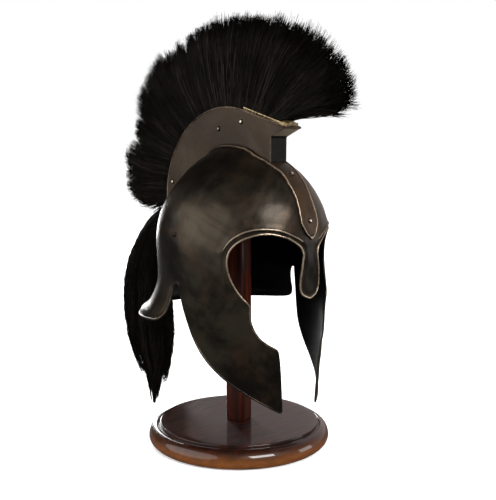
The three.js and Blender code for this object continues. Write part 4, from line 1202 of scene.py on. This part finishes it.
rawhide = fibre("rawhide", RAWHIDE_DARK, RAWHIDE_LIGHT, 160.0, 0.55)
cream_cord = fibre("cream_cord", CORD_DARK, CORD_CREAM, 420.0, 0.8)
binding_yz, binding_up = crest_run(BINDING_START, BINDING_POINTS)
strip_x = np.array([HIDE_HALF, HIDE_HALF, -HIDE_HALF, -HIDE_HALF])
strip_rise = np.array([BINDING_SINK, BINDING_RISE, BINDING_RISE, BINDING_SINK])
for side_name, sign in (("right", -1), ("left", 1)):
    strip = in_plane(binding_yz[:, None] + strip_rise[:, None] * binding_up[:, None],
                     sign * BINDING_X + strip_x)
    dress(loft(f"rawhide_strip_{side_name}", strip), rawhide, "horsehair")
    core = even(in_plane(binding_yz + BINDING_RISE * binding_up, sign * (BINDING_X + CORD_ASIDE)),
                CORD_SPACING)
    knob = 1 + CORD_KNOB * np.abs(np.sin(np.arange(len(core)) * CORD_TURNS))[:, None]
    knob[[0, -1]] = CORD_END
    cord_up = in_plane(unit(core[:, 1:] - CREST_CENTRE)) * knob
    cord_rings, _ = bead(core, cord_up, knob * [1.0, 0, 0], CORD_RADIUS, CORD_RADIUS, CORD_SIDES)
    dress(loft(f"whipped_cord_{side_name}", cord_rings), cream_cord, "horsehair")

pad_yz, pad_up = crest_run(PAD_START, PAD_POINTS)
pad_angle = full_turn(PAD_SIDES)
pad_rise = (PAD_RISE * np.sqrt(np.sin(np.linspace(*PAD_ANGLES, PAD_POINTS)))[:, None]
            * np.maximum(np.sin(pad_angle), PAD_SINK))
dress(loft("rawhide_pad", in_plane(pad_yz[:, None] + pad_rise[..., None] * pad_up[:, None],
                                   BINDING_X * np.cos(pad_angle))), rawhide, "horsehair")

# The tail: a loose hank of the same hair that leaves the rear end of the holder and falls behind the neck
# guard, parted into locks that thin out to uneven points.
# y, z, half depth in the mid-plane, half width across it
TAIL_SECTIONS = np.array([
    (108, 296, 6, 11), (128, 290, 9, 12), (156, 268, 17, 16), (176, 232, 28, 20), (186, 190, 40, 23),
    (185, 145, 46, 24), (181, 105, 46, 23), (176, 72, 36, 18), (173, 42, 20, 12), (174, 9, 5, 4)], float)
TAIL_PARTS = ("tail_near", "tail_far")
TAIL_HAIRS = 2100
TAIL_STEPS = 11
TAIL_LOCKS = 34
# the fall's direction is taken from this far behind a place to this far ahead, and at most to the last
FALL_STEP = 0.02
FALL_LAST = 8.999
# limits of the squared radius of locks and of hairs, of the share of the fall where locks end, of their sway
LOCK_PLACES = (0.1, 1.0)
HAIR_PLACES = (0.2, 1.0)
LOCK_END = (0.88, 1.03)
LOCK_SWAY = (0.14, 0.40)
HAIR_END_SPREAD = 0.11
SWAY_LIMIT = 1.12
OUTER_LOCK = 0.8
OUTER_LOCK_CUT = 0.05
# the share of the fall where the hairs start to draw together, how long that takes, and how far they go
GATHER_START = 0.36
GATHER_RUN = 0.45
GATHER_SHARE = 0.90
GATHER_POWER = 1.2
LOOSE_RUN = 1.6
# waves along the fall: the sway and the drift of whole locks, then the curl of single hairs
SWAY_PITCH = 13
DRIFT_PITCH = 9
DRIFT_PHASE = 2.3
CURL_SHARE = 0.085
TAIL_CURL_PITCH = 24
CORE_SHARES = np.linspace(0, 0.60, 30)
CORE_SIDES = 16
# shares of the fall and the core's size there, as a share of the tail's
CORE_SIZE = ((0, 0.3, 0.45, 0.60), (0.9, 0.75, 0.55, 0.08))


def tail_points(share, deep, wide):
    """Points of the tail at shares of its fall, 0 at the holder: the centre moved by deep half depths
    outward in the mid-plane and wide half widths across it."""
    place = share * (len(TAIL_SECTIONS) - 1)
    row = smooth_run(TAIL_SECTIONS, place)
    ahead = smooth_run(TAIL_SECTIONS, np.minimum(place + FALL_STEP, FALL_LAST))
    fall = unit((ahead - smooth_run(TAIL_SECTIONS, place - FALL_STEP))[..., :2])
    outward = quarter_turn(fall) * (deep * row[..., 2])[..., None]
    return in_plane(row[..., :2] + outward, wide * row[..., 3])


lock_angle = chance.uniform(0, 2 * np.pi, TAIL_LOCKS)
lock_radius = np.sqrt(chance.uniform(*LOCK_PLACES, TAIL_LOCKS))
lock_end = chance.uniform(*LOCK_END, TAIL_LOCKS)
lock_end[lock_radius > OUTER_LOCK] -= OUTER_LOCK_CUT
lock_tone = chance.random(TAIL_LOCKS)
lock_phase = chance.uniform(0, 2 * np.pi, TAIL_LOCKS)
lock_sway = chance.uniform(*LOCK_SWAY, TAIL_LOCKS) * (SWAY_LIMIT - lock_radius)
lock_deep, lock_wide = lock_radius * cos_sin(lock_angle).T
for name in TAIL_PARTS:
    hair_angle = chance.uniform(0, 2 * np.pi, TAIL_HAIRS)
    hair_radius = np.sqrt(chance.uniform(*HAIR_PLACES, TAIL_HAIRS))
    deep, wide = hair_radius * cos_sin(hair_angle).T
    lock = ((deep[:, None] - lock_deep) ** 2 + (wide[:, None] - lock_wide) ** 2).argmin(1)
    hair_end = lock_end[lock] - np.abs(chance.normal(0, HAIR_END_SPREAD, TAIL_HAIRS))
    fallen = np.linspace(0, 1, TAIL_STEPS) * hair_end[:, None]
    gather = GATHER_SHARE * np.clip((fallen - GATHER_START) / GATHER_RUN, 0, 1) ** GATHER_POWER
    loose = np.clip(fallen * LOOSE_RUN, 0, 1)
    swing = loose * lock_sway[lock][:, None]
    phase = lock_phase[lock][:, None]
    start = chance.uniform(0, PHASE_SPAN, TAIL_HAIRS)[:, None]
    curl = CURL_SHARE * loose * np.sin(TAIL_CURL_PITCH * fallen + start)
    deep_path = (deep[:, None] + gather * (lock_deep[lock] - deep)[:, None]
                 + swing * np.sin(SWAY_PITCH * fallen + phase) + curl)
    wide_path = (wide[:, None] + gather * (lock_wide[lock] - wide)[:, None]
                 + swing * np.sin(DRIFT_PITCH * fallen + DRIFT_PHASE * phase) - curl)
    dress(hair_piece(name, tail_points(fallen, deep_path, wide_path),
                     hair_tones(lock_tone[lock], TAIL_HAIRS)), horsehair, "horsehair", "crest_tail")

core_size = np.interp(CORE_SHARES, *CORE_SIZE)[:, None]
core_deep, core_wide = core_size * cos_sin(full_turn(CORE_SIDES)).T[:, None]
tail_heart = loft("tail_heart",
                  tail_points(np.repeat(CORE_SHARES[:, None], CORE_SIDES, 1), core_deep, core_wide))
point_values(tail_heart, "tone", 0.0)
dress(tail_heart, horsehair, "horsehair", "crest_tail")
